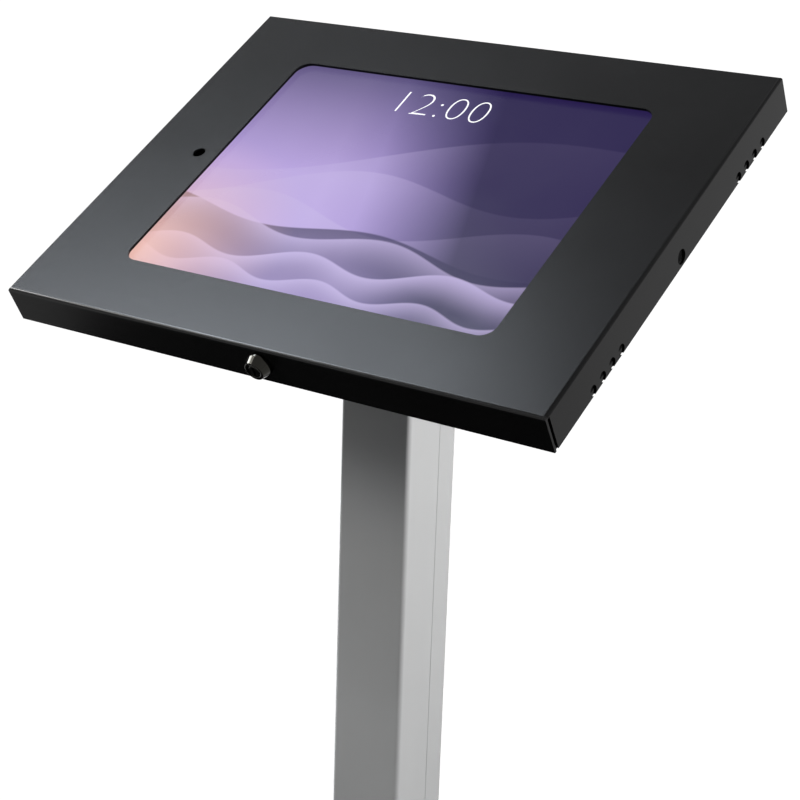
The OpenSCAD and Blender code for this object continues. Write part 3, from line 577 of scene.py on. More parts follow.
def lit_screen(name):
    """A lit display under glass: slow waves over a sweep of violet, a generic picture of its own."""
    colours = finishes()
    _, tree, shader, place = new_material(name)
    low, high = head_box("tablet_display")
    # Places on the display, from -0.5 to 0.5 along its width and its height
    at = head_coordinates(tree, place, (low + high) / 2, high - low)
    across, up, _ = split_vector(tree, at)
    sweep = math_node(tree, "MULTIPLY_ADD", up, SWEEP_SLANT, across)
    to_mid = math_node(tree, "MULTIPLY_ADD", sweep, *TO_MID, clamp=True)
    to_deep = math_node(tree, "MULTIPLY_ADD", sweep, *TO_DEEP, clamp=True)
    to_dusk = math_node(tree, "MULTIPLY", math_node(tree, "MULTIPLY", up, DUSK_RISE, clamp=True), DUSK_SHARE)
    colour = blend_colours(tree, to_mid, colours.screen_light, colours.screen_mid)
    colour = blend_colours(tree, to_dusk, colour, colours.screen_dusk)
    colour = blend_colours(tree, to_deep, colour, colours.screen_deep)
    for height, slope, swing, wavelength, phase, depth, show, fade, tint in SCREEN_WAVES:
        wave = add_group(tree, "screen_wave", at, Height=height, Slope=slope, Swing=swing,
                         Wavelength=wavelength, Phase=phase, Depth=depth)
        share = math_node(tree, "MULTIPLY_ADD", to_deep, -fade * show, show)
        mask = math_node(tree, "MULTIPLY", wave.outputs["Mask"], share)
        colour = blend_colours(tree, mask, colour, getattr(colours, tint))
    aside = math_node(tree, "SUBTRACT", across, GLOW_MIDDLE[0])
    above = math_node(tree, "MULTIPLY", math_node(tree, "SUBTRACT", up, GLOW_MIDDLE[1]), GLOW_FLAT)
    away = math_node(tree, "SQRT", math_node(tree, "ADD", math_node(tree, "MULTIPLY", aside, aside),
                                            math_node(tree, "MULTIPLY", above, above)))
    glow = math_node(tree, "SUBTRACT", 1.0, math_node(tree, "DIVIDE", away, GLOW_REACH), clamp=True)
    warm = math_node(tree, "MULTIPLY", math_node(tree, "POWER", glow, GLOW_FALL), GLOW_SHARE)
    colour = blend_colours(tree, warm, colour, colours.screen_glow)
    tree.links.new(colour, shader.inputs["Emission Color"])
    set_inputs(shader, {"Base Color": DISPLAY_BLACK, "Emission Strength": 1.0, "IOR": GLASS_IOR})
    smudge = add_group(tree, "handling_marks", place, Scale=22.0)
    tree.links.new(spread(tree, smudge.outputs["Smudge"], 0.16, 0.24), shader.inputs["Roughness"])


def clock_light(name):
    """White light of the clock's digits, a little uneven as on a panel."""
    _, tree, shader, place = new_material(name)
    group = add_group(tree, "surface_grain", place, Grain_Scale=900.0)
    tone = spread(tree, group.outputs["Height"], 0.0, 1.0)
    colour = blend_colours(tree, tone, (0.93, 0.92, 0.98), (1.0, 1.0, 1.0))
    tree.links.new(colour, shader.inputs["Emission Color"])
    set_inputs(shader, {"Base Color": (0.02, 0.02, 0.02, 1.0), "Emission Strength": 1.0})


# The material that each of the record's slots is shown with
FINISH_NAME = {
    "black_powder_coat": "satin_black_powder_coat",
    "grey_powder_coat": "silver_grey_coat",
    "zinc_steel": "bright_zinc",
    "black_rubber": "moulded_rubber",
    "black_plastic": "moulded_plastic",
    "dark_chrome": "polished_dark_chrome",
    "tablet_aluminium": "blasted_aluminium",
    "border_glass": "black_border_glass",
    "display_glass": "lit_display",
}


class KIOSK_OT_coat_surfaces(bpy.types.Operator):
    """Makes the finishes and gives each CAD piece its own"""

    bl_idname = "kiosk.coat_surfaces"
    bl_label = "Coat the surfaces"

    def execute(self, context):
        colours = finishes()
        make_grain_group()
        make_smudge_group()
        make_wave_group()
        coat = grained("satin_black_powder_coat", colours.coat, rough=(0.23, 0.26), grain=2400.0,
                       depth=0.03 * MM, ior=1.15)
        polish_front_fold(coat)
        grained("silver_grey_coat", colours.pole, rough=(0.42, 0.50), grain=3000.0, depth=0.015 * MM,
                contrast=0.03, ior=1.3)
        polished("bright_zinc", colours.zinc, rough=(0.24, 0.36), scale=300.0)
        grained("moulded_rubber", colours.rubber, rough=(0.68, 0.82), grain=1500.0, depth=0.04 * MM,
                ior=1.35)
        grained("moulded_plastic", colours.plastic, rough=(0.46, 0.58), grain=1800.0, depth=0.03 * MM,
                ior=1.4)
        polished("polished_dark_chrome", colours.chrome, rough=(0.06, 0.12), scale=400.0)
        grained("blasted_aluminium", colours.shell, rough=(0.34, 0.40), grain=4000.0, depth=0.01 * MM,
                contrast=0.04, metallic=1.0)
        polished("black_border_glass", colours.border, rough=(0.05, 0.12), scale=30.0, ior=GLASS_IOR,
                 metallic=0.0)
        lit_screen("lit_display")
        clock_light("clock_white")
        for node, piece in frame["nodes"].items():
            piece.data.materials.clear()
            piece.data.materials.append(bpy.data.materials[FINISH_NAME[SLOT_OF[node]]])
        return {"FINISHED"}


# Fasteners

HEAD_SHARE = 0.578  # height of a button head, as a share of its radius
SHANK_SHARE = 0.52  # radius of a shank, as a share of its head
SOCKET_SHARE = 0.98  # socket across corners, as a share of the head's radius
SOCKET_FLOOR = 0.42  # floor of the socket, as a share of a button head's height
CROWN_SHARE = 0.42  # radius of a button head's flat crown, as a share of the head
RIM_SHARE = 0.16  # upright rim of a button head, as a share of its height
THREAD_DEPTH = 0.6  # depth of a thread, as a share of its pitch
CHAMFER_SHARE = 0.55  # chamfer of a hexagon, as a share of how far its corners stand out
HEX_SHARE = 3.76  # a hexagon across corners, in radii of its bolt
BAR_SPARE = 1 * MM  # how far a hexagon bar stands out at both ends before it is turned
SCREW_STEPS = 48


def thread_outline(radius, low, high, pitch):
    """Rings of a thread, from its lower end to its upper end."""
    count = max(1, int((high - low) / pitch))
    root = radius - THREAD_DEPTH * pitch
    points = []
    for turn in range(count):
        start = low + turn * (high - low) / count
        points += [(root, start), (radius, start + 0.5 * (high - low) / count)]
    return points + [(root, high)]


def button_screw(name, head_r, length):
    """A button-head screw with a hexagon socket; its head's seat is at zero and its thread points down."""
    head_h = head_r * HEAD_SHARE
    shank_r = head_r * SHANK_SHARE
    crown_r = head_r * CROWN_SHARE
    rim = head_h * RIM_SHARE
    dome = [(crown_r + (head_r - crown_r) * math.cos(math.radians(a)),
             rim + (head_h - rim) * math.sin(math.radians(a))) for a in range(0, 91, 10)]
    outline = [(0, -length)] + thread_outline(shank_r, -length, -0.1 * head_h, details().thread_pitch)
    outline += [(head_r - 0.1 * rim, 0), (head_r, 0.2 * rim)] + dome + [(0, head_h)]
    screw = lathe(name, outline, steps=SCREW_STEPS)
    socket = prism("socket", 6, head_r * SOCKET_SHARE, head_h * SOCKET_FLOOR, head_h * 1.5)
    return carve(screw, socket)


def flat_screw(name, head_r, shank_r, length):
    """A countersunk screw with a hexagon socket, its flat head at zero, facing up."""
    rim, edge = 0.4 * MM, 0.1 * MM
    socket_across, socket_deep = 1.3 * shank_r, 0.45 * head_r
    cone_low = -(head_r - shank_r) - rim
    outline = [(0, -length)] + thread_outline(shank_r, -length, cone_low, details().thread_pitch)
    outline += [(head_r, -rim), (head_r, -edge), (head_r - edge, 0), (0, 0)]
    screw = lathe(name, outline, steps=SCREW_STEPS)
    socket = prism("socket", 6, socket_across, -socket_deep, head_r)
    return carve(screw, socket)


def outward_x(box):
    """Faces right for what lies on the right, and left on the left."""
    return (1, 0, 0) if box[0].x + box[1].x > 0 else (-1, 0, 0)


# Each group of button screws: its CAD node, the new piece's name, its body, which way its heads face, and the
# axes that this is given in
BUTTON_SCREWS = (
    ("rear_cover_screws", "rear_button_screws", "stand", (0, 1, 0), None),
    ("swivel_screws", "plate_button_screws", "enclosure", (0, 0, 1), HEAD),
    ("cradle_screws", "cradle_button_screws", "enclosure", (0, 0, -1), HEAD),
    ("cam_screw", "cam_button_screw", "lock_core", (0, 1, 0), HEAD),
    ("pole_head_screws", "side_button_screws", "stand", outward_x, None),
)
SCREW_REACH = 16 * MM  # no solid of a button screw reaches further than this


def screw_place(box, axis):
    """Radius, full length and crown of a screw that fills a box along an axis."""
    low, high = box
    along = max(range(3), key=lambda k: abs(axis[k]))
    across = next(k for k in range(3) if k != along)
    crown = (low + high) / 2
    crown[along] = high[along] if axis[along] > 0 else low[along]
    return (high[across] - low[across]) / 2, high[along] - low[along], crown


def set_button_screws(node, name, body, faces, axes):
    """Models one screw of a CAD node and sets a copy at each of the node's solids."""
    axes = axes or Matrix.Identity(4)
    boxes = solid_boxes(node, SCREW_REACH, axes)
    head_r, length, _ = screw_place(boxes[0], faces(boxes[0]) if callable(faces) else faces)
    head_h = head_r * HEAD_SHARE
    places = []
    for box in boxes:
        axis = faces(box) if callable(faces) else faces
        crown = screw_place(box, axis)[2]
        places.append(axes @ facing(crown - Vector(axis) * head_h, axis))
    screws = repeat(button_screw(name, head_r, length - head_h), places, name)
    dress(screws, body, "zinc_steel", [node])


class KIOSK_OT_set_screws(bpy.types.Operator):
    """Models the button-head and countersunk screws with their sockets and threads"""

    bl_idname = "kiosk.set_screws"
    bl_label = "Set the screws"

    def execute(self, context):
        for group in BUTTON_SCREWS:
            set_button_screws(*group)
        boxes = solid_boxes("foot_screws", 2 * SCREW_REACH)
        low, high = boxes[0]
        head_r = (high.x - low.x) / 2
        model = flat_screw("foot_flat_screws", head_r, head_r * SHANK_SHARE, high.z - low.z)
        places = [facing(underside(box), (0, 0, -1)) for box in boxes]
        dress(repeat(model, places, "foot_flat_screws"), "stand", "zinc_steel", ["foot_screws"])
        return {"FINISHED"}


def chamfered_hex(name, across_corners, height, both_ends):
    """A hexagon along Z from zero, with the round chamfer of a turned bolt head or nut."""
    # The bar is longer than the turned shape, because the cut can fail where faces of both lie in one plane
    piece = prism(name, 6, across_corners, -BAR_SPARE, height + BAR_SPARE)
    flat_r = across_corners / 2 * math.cos(math.pi / 6)
    drop = (across_corners / 2 - flat_r) * CHAMFER_SHARE
    far_r = across_corners / 2 + 0.05 * MM
    foot = [(0, 0), (flat_r, 0), (far_r, drop)] if both_ends else [(0, 0), (far_r, 0)]
    turned = lathe("turned", foot + [(far_r, height - drop), (flat_r, height), (0, height)])
    return carve(piece, turned, "INTERSECT")


def hex_nut(name, across_corners, height, bore_r):
    """A hexagon nut with chamfers and a countersunk bore."""
    nut = chamfered_hex(name, across_corners, height, True)
    sink = 0.5 * MM
    bore = [(0, -sink), (bore_r + sink * 2, -sink), (bore_r, sink), (bore_r, height - sink)]
    bore += [(bore_r + sink * 2, height + sink), (0, height + sink)]
    return carve(nut, lathe("bore", bore))


class KIOSK_OT_set_tilt_bolt(bpy.types.Operator):
    """Models the tilt joint's hexagon bolt and its locking nut"""

    bl_idname = "kiosk.set_tilt_bolt"
    bl_label = "Set the tilt bolt"

    def execute(self, context):
        low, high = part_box("tilt_bolt")
        nut_low, nut_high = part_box("tilt_nut")
        washer_low, washer_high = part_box("tilt_washers")
        across = nut_high.z - nut_low.z
        head_h = washer_low.x - low.x
        bolt_r = across / HEX_SHARE
        fit = 0.03 * MM
        along_x = Matrix.Translation((0, TILT_AT.y, TILT_AT.z)) @ facing((0, 0, 0), (1, 0, 0))
        head = chamfered_hex("bolt_head", across, head_h, False)
        head = move(head, Matrix.Translation((0, 0, washer_low.x)) @ Matrix.Rotation(math.pi, 4, "X"))
        shank_from = washer_low.x - 0.5 * head_h
        thread_from = washer_high.x - 6 * MM
        outline = [(0, shank_from), (bolt_r, shank_from), (bolt_r, thread_from)]
        outline += thread_outline(bolt_r, thread_from, high.x - 0.6 * MM, pitch=1.25 * MM)
        outline += [(bolt_r - 0.9 * MM, high.x), (0, high.x)]
        bolt = join([head, lathe("bolt_shank", outline, steps=SCREW_STEPS)], "tilt_hex_bolt")
        dress(move(bolt, along_x), "stand", "zinc_steel", ["tilt_bolt"])
        height = nut_high.x - nut_low.x
        nut = hex_nut("tilt_lock_nut", across, height * 0.8, bolt_r + fit)
        collar_r, seat, shoulder, edge = across / 2 * 0.80, height * 0.75, height * 0.93, 0.07 * height
        outline = [(bolt_r, seat), (collar_r, seat), (collar_r, shoulder)]
        outline += arc((collar_r - edge, shoulder), edge, 0, 90)
        outline += [(bolt_r + 0.5 * MM, height), (bolt_r + fit, height - 0.4 * MM), (bolt_r, seat)]
        collar = lathe("collar", outline)
        nut = join([nut, collar], "tilt_lock_nut")
        dress(move(nut, along_x @ Matrix.Translation((0, 0, nut_low.x))), "stand", "zinc_steel", ["tilt_nut"])
        return {"FINISHED"}


# Lock

BARREL_R = 5 * MM
BARREL_PITCH = 0.75 * MM
BARREL_FLAT = 0.6 * MM  # how deep the barrel's two flats are cut
CORE_GAP = 0.05 * MM  # between the core and its bore
THREAD_RELIEF = 0.3 * MM  # plain stretch at each end of the barrel's thread


class KIOSK_OT_make_lock(bpy.types.Operator):
    """Models the cam lock: dished bezel, threaded barrel, keyed core and nut"""

    bl_idname = "kiosk.make_lock"
    bl_label = "Make the lock"

    def execute(self, context):
        at_lock = HEAD @ Matrix.Translation((LOCK_AT.x, 0, LOCK_AT.z)) @ facing((0, 0, 0), (0, 1, 0))
        low, high = head_box("lock_barrel")
        plug_low, plug_high = head_box("lock_plug")
        face = head_box("front_cover")[0].y
        bezel_r = (high.x - low.x) / 2
        core_r = (plug_high.x - plug_low.x) / 2
        bore_r = core_r + CORE_GAP
        lip = 0.5 * MM
        lip_r = bezel_r - 1.2 * MM
        rim_top = face - 0.3 * (face - low.y)
        edge = 0.15 * MM
        outline = [(bore_r, high.y), (bore_r, low.y + 0.3 * MM), (core_r + 0.7 * MM, low.y)]
        outline += arc((lip_r - lip, low.y + lip), lip, 270, 350)
        outline += [(bezel_r - 0.16 * MM, rim_top - 0.40 * MM), (bezel_r - 0.04 * MM, rim_top - 0.12 * MM)]
        outline += [(bezel_r, rim_top + 0.1 * MM), (bezel_r, face - edge), (bezel_r - edge, face)]
        outline += [(BARREL_R, face)]
        outline += thread_outline(BARREL_R, face + THREAD_RELIEF, high.y - THREAD_RELIEF, BARREL_PITCH)
        outline += [(BARREL_R - 0.5 * MM, high.y), (bore_r, high.y)]
        body = lathe("lock_body", outline, steps=96)
        flat = BARREL_R - BARREL_FLAT
        for side in (-1, 1):
            near, far = sorted((side * flat, side * 2 * bezel_r))
            body = carve(body, block("flat", (near, -bezel_r, face + 0.02 * MM), (far, bezel_r, high.y + MM)))
        dress(move(body, at_lock), "cover", "dark_chrome", ["lock_barrel"])
        self.make_core(at_lock, plug_low, plug_high, core_r)
        nut_low, nut_high = head_box("lock_nut")
        nut = hex_nut("lock_hex_nut", nut_high.x - nut_low.x, nut_high.y - nut_low.y, BARREL_R + CORE_GAP)
        dress(move(nut, at_lock @ Matrix.Translation((0, 0, nut_low.y))), "cover", "zinc_steel", ["lock_nut"])
        return {"FINISHED"}

    def make_core(self, at_lock, low, high, core_r):
        """The turning core: a round-edged face with its keyway, and a square tail for the cam."""
        cam_low = head_box("lock_cam")[0]
        rim, edge = 0.9 * MM, 0.1 * MM
        outline = [(0, low.y)] + arc((core_r - rim, low.y + rim), rim, 270, 360)
        outline += [(core_r, cam_low.y - edge), (core_r - edge, cam_low.y), (0, cam_low.y)]
        core = lathe("lock_core_face", outline, steps=72)
        key_w, key_l, ward_w, ward_l = 0.5 * MM, 2.2 * MM, 1.0 * MM, 0.45 * MM
        key_from, key_to = low.y - MM, low.y + 4 * MM
        core = carve(core, block("keyway", (-key_w, -key_l, key_from), (key_w, key_l, key_to)))
        core = carve(core, block("ward", (0, -ward_l, key_from), (ward_w, ward_l, key_to)))
        tail = 2 * MM
        post = block("tail", (-tail, -tail, cam_low.y - edge), (tail, tail, high.y))
        core = join([core, post], "lock_core_face")
        dress(move(core, at_lock), "lock_core", "dark_chrome", ["lock_plug"])


# Rubber


class KIOSK_OT_mould_rubber(bpy.types.Operator):
    """Models the round rubber pieces: the feet and the cable grommet"""

    bl_idname = "kiosk.mould_rubber"
    bl_label = "Mould the rubber"

    def execute(self, context):
        boxes = solid_boxes("base_feet", 40 * MM)
        low, high = boxes[0]
        foot_r, foot_h = (high.x - low.x) / 2, high.z - low.z
        rim = 0.8 * MM
        hollow = 0.4 * MM
        groove = 0.5 * MM
        outline = [(0, hollow), (foot_r * 0.3, hollow), (foot_r * 0.34, 0)]
        for share in (0.52, 0.70):
            ring = foot_r * share
            outline += [(ring - groove, 0), (ring - 0.5 * groove, groove), (ring + 0.5 * groove, groove)]
            outline += [(ring + groove, 0)]
        outline += arc((foot_r - 1.6 * rim, rim), rim, 270, 350)
        outline += [(foot_r - 0.15 * MM, foot_h - 0.6 * MM), (foot_r, foot_h), (0, foot_h)]
        places = [Matrix.Translation(underside(box)) for box in boxes]
        feet = repeat(lathe("moulded_feet", outline, steps=72), places, "moulded_feet")
        dress(feet, "stand", "black_rubber", ["base_feet"])
        self.make_grommet()
        return {"FINISHED"}

    def make_grommet(self):
        """A grommet whose neck fills the tray's hole and whose lip lies on the sheet."""
        low, high = head_box("cable_grommet")
        bore_r, lip_r = 6.5 * MM, (high.x - low.x) / 2
        neck_r = lip_r - 2.4 * MM
        tray_top = low.z + 1.2 * MM
        edge, mouth = 0.55 * MM, 0.5 * MM
        outline = arc((bore_r + mouth, low.z + mouth), mouth, 180, 270)
        outline += [(neck_r, low.z), (neck_r, tray_top), (lip_r, tray_top)]
        outline += arc((lip_r - edge, high.z - edge), edge, 0, 90)
        outline += arc((bore_r + edge, high.z - edge), edge, 90, 180)
        outline += [outline[0]]
        grommet = move(lathe("moulded_grommet", outline), HEAD)
        dress(grommet, "enclosure", "black_rubber", ["cable_grommet"])


# Weld at the foot of the pole

RIPPLE_SHAPE = (1.25, 1.0, 0.9)
RIPPLE_SLANT = math.pi / 9
WELD_VOXEL = 0.35 * MM


class KIOSK_OT_weld_foot(bpy.types.Operator):
    """Runs a rippled weld bead round the three sides of the pole's channel, on the foot plate"""

    bl_idname = "kiosk.weld_foot"
    bl_label = "Weld the foot"

    def execute(self, context):
        low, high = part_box("pole_channel")
        radius, step = details().weld_r, details().weld_step
        ripple = add_primitive("weld_bead", bpy.ops.mesh.primitive_uv_sphere_add, segments=16, ring_count=10,
                               radius=radius)
        start_edit(ripple)
        bpy.ops.mesh.select_all(action="SELECT")
        bpy.ops.transform.resize(value=RIPPLE_SHAPE)
        end_edit()
        back = high.y - 2 * radius
        corners = [Vector((low.x, back, low.z)), Vector((low.x, low.y, low.z)),
                   Vector((high.x, low.y, low.z)), Vector((high.x, back, low.z))]
        places = []
        for start, end in zip(corners, corners[1:]):
            run = end - start
            count = max(1, round(run.length / step))
            turn = Matrix.Rotation(math.atan2(run.y, run.x) + RIPPLE_SLANT, 4, "Z")
            places += [Matrix.Translation(start + run * n / count) @ turn for n in range(count + 1)]
        bead = repeat(ripple, places, "weld_bead")
        fused = bead.modifiers.new("fuse", "REMESH")
        fused.mode = "VOXEL"
        fused.voxel_size = WELD_VOXEL
        relaxed = bead.modifiers.new("relax", "SMOOTH")
        relaxed.iterations = 3
        apply_all(bead)
        lift, inside = 0.02 * MM, 0.6 * MM
        carve(bead, block("plate", (-1, -1, low.z - 1), (1, 1, low.z + lift)))
        carve(bead, block("pole", (low.x + inside, low.y + inside, low.z - 1), (high.x - inside, 1, 1)))
        dress(bead, "stand", SLOT_OF["pole_channel"], smooth=60)
        return {"FINISHED"}


# Screen

DIGIT_SHARE = 0.70  # height of a digit, as a share of the font's size
STROKE_THINNED = 0.044  # how much thinner the strokes are drawn, as a share of a digit's height
DIGIT_SPACING = 1.04


class KIOSK_OT_show_clock(bpy.types.Operator):
    """Shows plain clock digits on the lit screen"""

    bl_idname = "kiosk.show_clock"
    bl_label = "Show the clock"

    time: StringProperty(name="Time", description="Digits of the clock", default="12:00")

    def execute(self, context):
        low, high = head_box("tablet_display")
        size = details()
        digits = add_primitive("clock_digits", bpy.ops.object.text_add)
        digits.data.body = self.time
        digits.data.align_x = "CENTER"
        digits.data.align_y = "CENTER"
        digits.data.size = size.clock_h / DIGIT_SHARE
        digits.data.offset = -STROKE_THINNED * size.clock_h
        digits.data.space_character = DIGIT_SPACING
        digits.data.extrude = 0.01 * MM
        bpy.ops.object.convert(target="MESH")
        middle = (low + high) / 2
        at = Vector((middle.x - size.clock_left, middle.y + size.clock_up, high.z + 0.02 * MM))
        move(digits, HEAD @ Matrix.Translation(at))
        dress(digits, "enclosure", "display_glass")
        digits.data.materials[0] = bpy.data.materials["clock_white"]
        return {"FINISHED"}


# Edges

SHEET_PIECES = ("front_cover", "back_tray", "tilt_bracket", "lock_strike", "lock_cam", "tablet_cradles",
                "pole_channel", "pole_rear_cover", "tilt_washers", "tablet_shell")
THICK_PIECES = ("base_plate", "foot_plate", "pole_head", "cable_exit", "swivel_plate")
THICK_EDGE = 2.5  # their softened edges, in widths of the thin pieces' edges


class KIOSK_OT_soften_edges(bpy.types.Operator):
    """Rounds the cut edges of the sheet metal and plates"""

    bl_idname = "kiosk.soften_edges"
    bl_label = "Soften the edges"

    def execute(self, context):
        edge = details().edge_round
        for node in SHEET_PIECES:
            soften(node, edge)
        for node in THICK_PIECES:
            soften(node, THICK_EDGE * edge)
        return {"FINISHED"}


# Stage

# The photograph's camera: its lens on a 36 mm sensor, and how it looks at the middle of the cover's face
LENS_MM = 85.34
CAMERA_AZIMUTH = math.radians(34.52)
CAMERA_ELEVATION = math.radians(18.05)
CAMERA_ROLL = math.radians(1.94)
CAMERA_FROM_FACE = Vector((0.4874, -0.6913, 0.1736))

# The card that the front flange mirrors: its middle and its size, in metres
CARD_AT = (-0.085, -0.135, 0.80)
CARD_SIZE = (0.41, 0.27)

# The floor: its size, and the pool of shade round a middle, out to where it has faded to white
FLOOR_SIZE = 60
SHADE_MIDDLE = (-0.3, -0.3, 0)
SHADE_REACH = (0.45, 1.45)
SHADE_GLOW = (0.32, 1.0)

# The surroundings: heights between which they dim, their strengths there, and the even light on things
DIM_BETWEEN = (0.25, 0.75)
DIM_STRENGTH = (1.0, 0.9)
EVEN_LIGHT = 0.10

WHITE = (1, 1, 1, 1)
WARM_LIGHT = (1.0, 0.99, 0.97)
COOL_LIGHT = (0.84, 0.91, 1.0)


def camera_axes():
    """Right, up and backward directions of the photograph's camera."""
    sin_a, cos_a = math.sin(CAMERA_AZIMUTH), math.cos(CAMERA_AZIMUTH)
    sin_e, cos_e = math.sin(CAMERA_ELEVATION), math.cos(CAMERA_ELEVATION)
    back = Vector((sin_a * cos_e, -cos_a * cos_e, sin_e))
    level = Vector((cos_a, sin_a, 0))
    upright = back.cross(level)
    right = level * math.cos(CAMERA_ROLL) + upright * math.sin(CAMERA_ROLL)
    return right, back.cross(right), back


def add_softbox(name, place, target, size, power, colour, spread_deg, roll_deg=0, mirrored=True):
    """A gridded rectangular lamp that faces a target, unseen by the camera, and by gloss unless mirrored."""
    lamp = bpy.data.lights.new(name, "AREA")
    lamp.shape = "RECTANGLE"
    lamp.size, lamp.size_y = size
    lamp.energy = power
    lamp.color = colour
    lamp.spread = math.radians(spread_deg)
    holder = bpy.data.objects.new(name, lamp)
    bpy.context.scene.collection.objects.link(holder)
    aim = Vector(target) - Vector(place)
    holder.location = place
    roll = Matrix.Rotation(math.radians(roll_deg), 3, "Z")
    holder.rotation_euler = (aim.to_track_quat("-Z", "Y").to_matrix() @ roll).to_euler()
    holder.visible_camera = False
    holder.visible_glossy = mirrored


def seen_directly(tree):
    """One for rays that the camera, metal or glass send out, and zero for rays that only light things."""
    path = tree.nodes.new("ShaderNodeLightPath")
    first = math_node(tree, "MAXIMUM", path.outputs["Is Camera Ray"], path.outputs["Is Glossy Ray"])
    return math_node(tree, "MAXIMUM", first, path.outputs["Is Transmission Ray"])


def matt_surface(name, dark, light, **scales):
    """A matt stage surface that is mottled between two greys."""
    material, tree, shader, place = new_material(name)
    group = add_group(tree, "surface_grain", place, **scales)
    tone = spread(tree, group.outputs["Mottle"], 0.0, 1.0)
    tree.links.new(blend_colours(tree, tone, (dark,) * 3, (light,) * 3), shader.inputs["Base Color"])
    set_inputs(shader, {"Roughness": 0.9, "Specular IOR Level": 0.1})
    return material, tree, shader, place


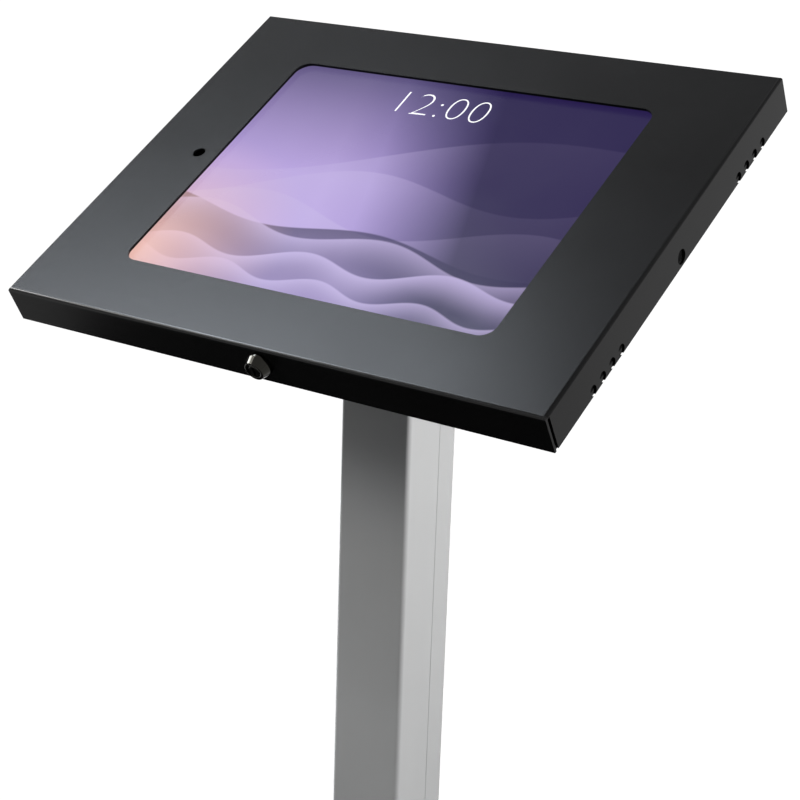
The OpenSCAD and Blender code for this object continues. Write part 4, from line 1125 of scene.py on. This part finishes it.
class KIOSK_OT_set_stage(bpy.types.Operator):
    """Lays the floor and sets the lamps, the surroundings and the photograph's camera"""

    bl_idname = "kiosk.set_stage"
    bl_label = "Set the stage"

    def execute(self, context):
        self.lay_floor()
        self.hang_card()
        self.set_surroundings(context.scene)
        face = HEAD @ Vector((0, 0, head_box("front_cover")[1].z))
        self.set_lamps(face)
        self.set_camera(context.scene, face)
        context.scene.view_settings.view_transform = "Standard"
        return {"FINISHED"}

    def set_lamps(self, face):
        """Two lamps for the pole, from the right and the front, two for the face and one for the lock."""
        add_softbox("right_softbox", (2.1, 0.25, 1.8), (0, 0, 1.45), size=(1.4, 1.4), power=12.4,
                    colour=(1.0, 0.99, 0.98), spread_deg=46, mirrored=False)
        front = face + 2.4 * Vector((-0.62, -0.60, 0.50))
        add_softbox("front_softbox", front, (0, 0, 0.85), size=(0.7, 0.7), power=2.45, colour=WARM_LIGHT,
                    spread_deg=50)
        left = face + 2.5 * Vector((-0.606, 0.030, 0.795))
        add_softbox("left_softbox", left, face, size=(0.45, 0.95), power=3.6, colour=COOL_LIGHT,
                    spread_deg=50, roll_deg=26.6)
        above = face + 2.4 * Vector((-0.607, -0.30, 0.735))
        add_softbox("upper_softbox", above, face, size=(1.0, 1.0), power=1.9, colour=WARM_LIGHT,
                    spread_deg=50)
        lock = Vector(JOINTS["lock_turn"]["pos_m"])
        beside = lock + 0.8 * Vector((-0.934, -0.016, 0.356))
        add_softbox("lock_softbox", beside, lock, size=(0.16, 0.62), power=1.8, colour=(1.0, 1.0, 1.0),
                    spread_deg=90, roll_deg=-45)

    def lay_floor(self):
        """A pale floor that glows white to the camera away from the stand, and keeps its shadow."""
        floor = add_primitive("studio_floor", bpy.ops.mesh.primitive_plane_add, size=FLOOR_SIZE)
        material, tree, shader, place = matt_surface("pale_floor", 0.42, 0.45, Grain_Scale=40.0,
                                                     Mottle_Scale=0.8)
        set_inputs(shader, {"Emission Color": WHITE})
        away = tree.nodes.new("ShaderNodeVectorMath")
        away.operation = "DISTANCE"
        away.inputs[1].default_value = SHADE_MIDDLE
        tree.links.new(place, away.inputs[0])
        lift = map_range(tree, away.outputs["Value"], SHADE_REACH, SHADE_GLOW, smooth=True)
        shown = math_node(tree, "MULTIPLY", seen_directly(tree), lift)
        tree.links.new(shown, shader.inputs["Emission Strength"])
        floor.data.materials.append(material)

    def hang_card(self):
        """A dark card that only gloss sees, so that the front flange above it doesn't mirror the floor."""
        card = add_primitive("dark_card", bpy.ops.mesh.primitive_plane_add, size=1)
        card.location = CARD_AT
        card.scale = (*CARD_SIZE, 1)
        card.data.materials.append(matt_surface("dark_card_paper", 0.018, 0.022, Grain_Scale=400.0)[0])
        card.visible_camera = card.visible_diffuse = card.visible_transmission = card.visible_shadow = False

    def set_surroundings(self, scene):
        """White surroundings, a little dimmer above, and an even light that isn't seen."""
        world = bpy.data.worlds.new("studio")
        scene.world = world
        world.use_nodes = True
        tree = world.node_tree
        shown = tree.nodes["Background"]
        _, _, height = split_vector(tree, tree.nodes.new("ShaderNodeTexCoord").outputs["Generated"])
        dim = map_range(tree, height, DIM_BETWEEN, DIM_STRENGTH, smooth=True)
        tree.links.new(dim, shown.inputs["Strength"])
        even = tree.nodes.new("ShaderNodeBackground")
        set_inputs(even, {"Color": WHITE, "Strength": EVEN_LIGHT})
        set_inputs(shown, {"Color": WHITE})
        either = tree.nodes.new("ShaderNodeMixShader")
        tree.links.new(seen_directly(tree), either.inputs["Fac"])
        tree.links.new(even.outputs[0], either.inputs[1])
        tree.links.new(shown.outputs[0], either.inputs[2])
        tree.links.new(either.outputs[0], tree.nodes["World Output"].inputs["Surface"])

    def set_camera(self, scene, face):
        camera = bpy.data.cameras.new("photo_camera")
        camera.lens = LENS_MM
        camera.sensor_width = 36
        camera.clip_end = 200
        holder = bpy.data.objects.new("photo_camera", camera)
        scene.collection.objects.link(holder)
        right, upright, back = camera_axes()
        turn = Matrix((right, upright, back)).transposed().to_4x4()
        holder.matrix_world = Matrix.Translation(face + CAMERA_FROM_FACE) @ turn
        scene.camera = holder


class KIOSK_PT_stand(bpy.types.Panel):
    """Lists the steps that build the stand's looks, with its colours and sizes"""

    bl_label = "Kiosk stand"
    bl_idname = "KIOSK_PT_stand"
    bl_space_type = "VIEW_3D"
    bl_region_type = "UI"
    bl_category = "Kiosk"

    def draw(self, context):
        for step in STEPS:
            self.layout.operator(step.bl_idname)
        for group in (context.scene.kiosk_finishes, context.scene.kiosk_details):
            for name in group.__annotations__:
                self.layout.prop(group, name)


STEPS = (KIOSK_OT_coat_surfaces, KIOSK_OT_set_screws, KIOSK_OT_set_tilt_bolt, KIOSK_OT_make_lock,
         KIOSK_OT_mould_rubber, KIOSK_OT_weld_foot, KIOSK_OT_show_clock, KIOSK_OT_soften_edges,
         KIOSK_OT_set_stage)
CLASSES = (KioskFinishes, KioskDetails, *STEPS, KIOSK_PT_stand)


def register():
    for cls in CLASSES:
        bpy.utils.register_class(cls)
    bpy.types.Scene.kiosk_finishes = PointerProperty(type=KioskFinishes)
    bpy.types.Scene.kiosk_details = PointerProperty(type=KioskDetails)


def unregister():
    del bpy.types.Scene.kiosk_details
    del bpy.types.Scene.kiosk_finishes
    for cls in reversed(CLASSES):
        bpy.utils.unregister_class(cls)


def main():
    register()
    bpy.ops.kiosk.coat_surfaces()
    bpy.ops.kiosk.set_screws()
    bpy.ops.kiosk.set_tilt_bolt()
    bpy.ops.kiosk.make_lock()
    bpy.ops.kiosk.mould_rubber()
    bpy.ops.kiosk.weld_foot()
    bpy.ops.kiosk.show_clock()
    bpy.ops.kiosk.soften_edges()
    bpy.ops.kiosk.set_stage()


if __name__ == "__main__":
    main()
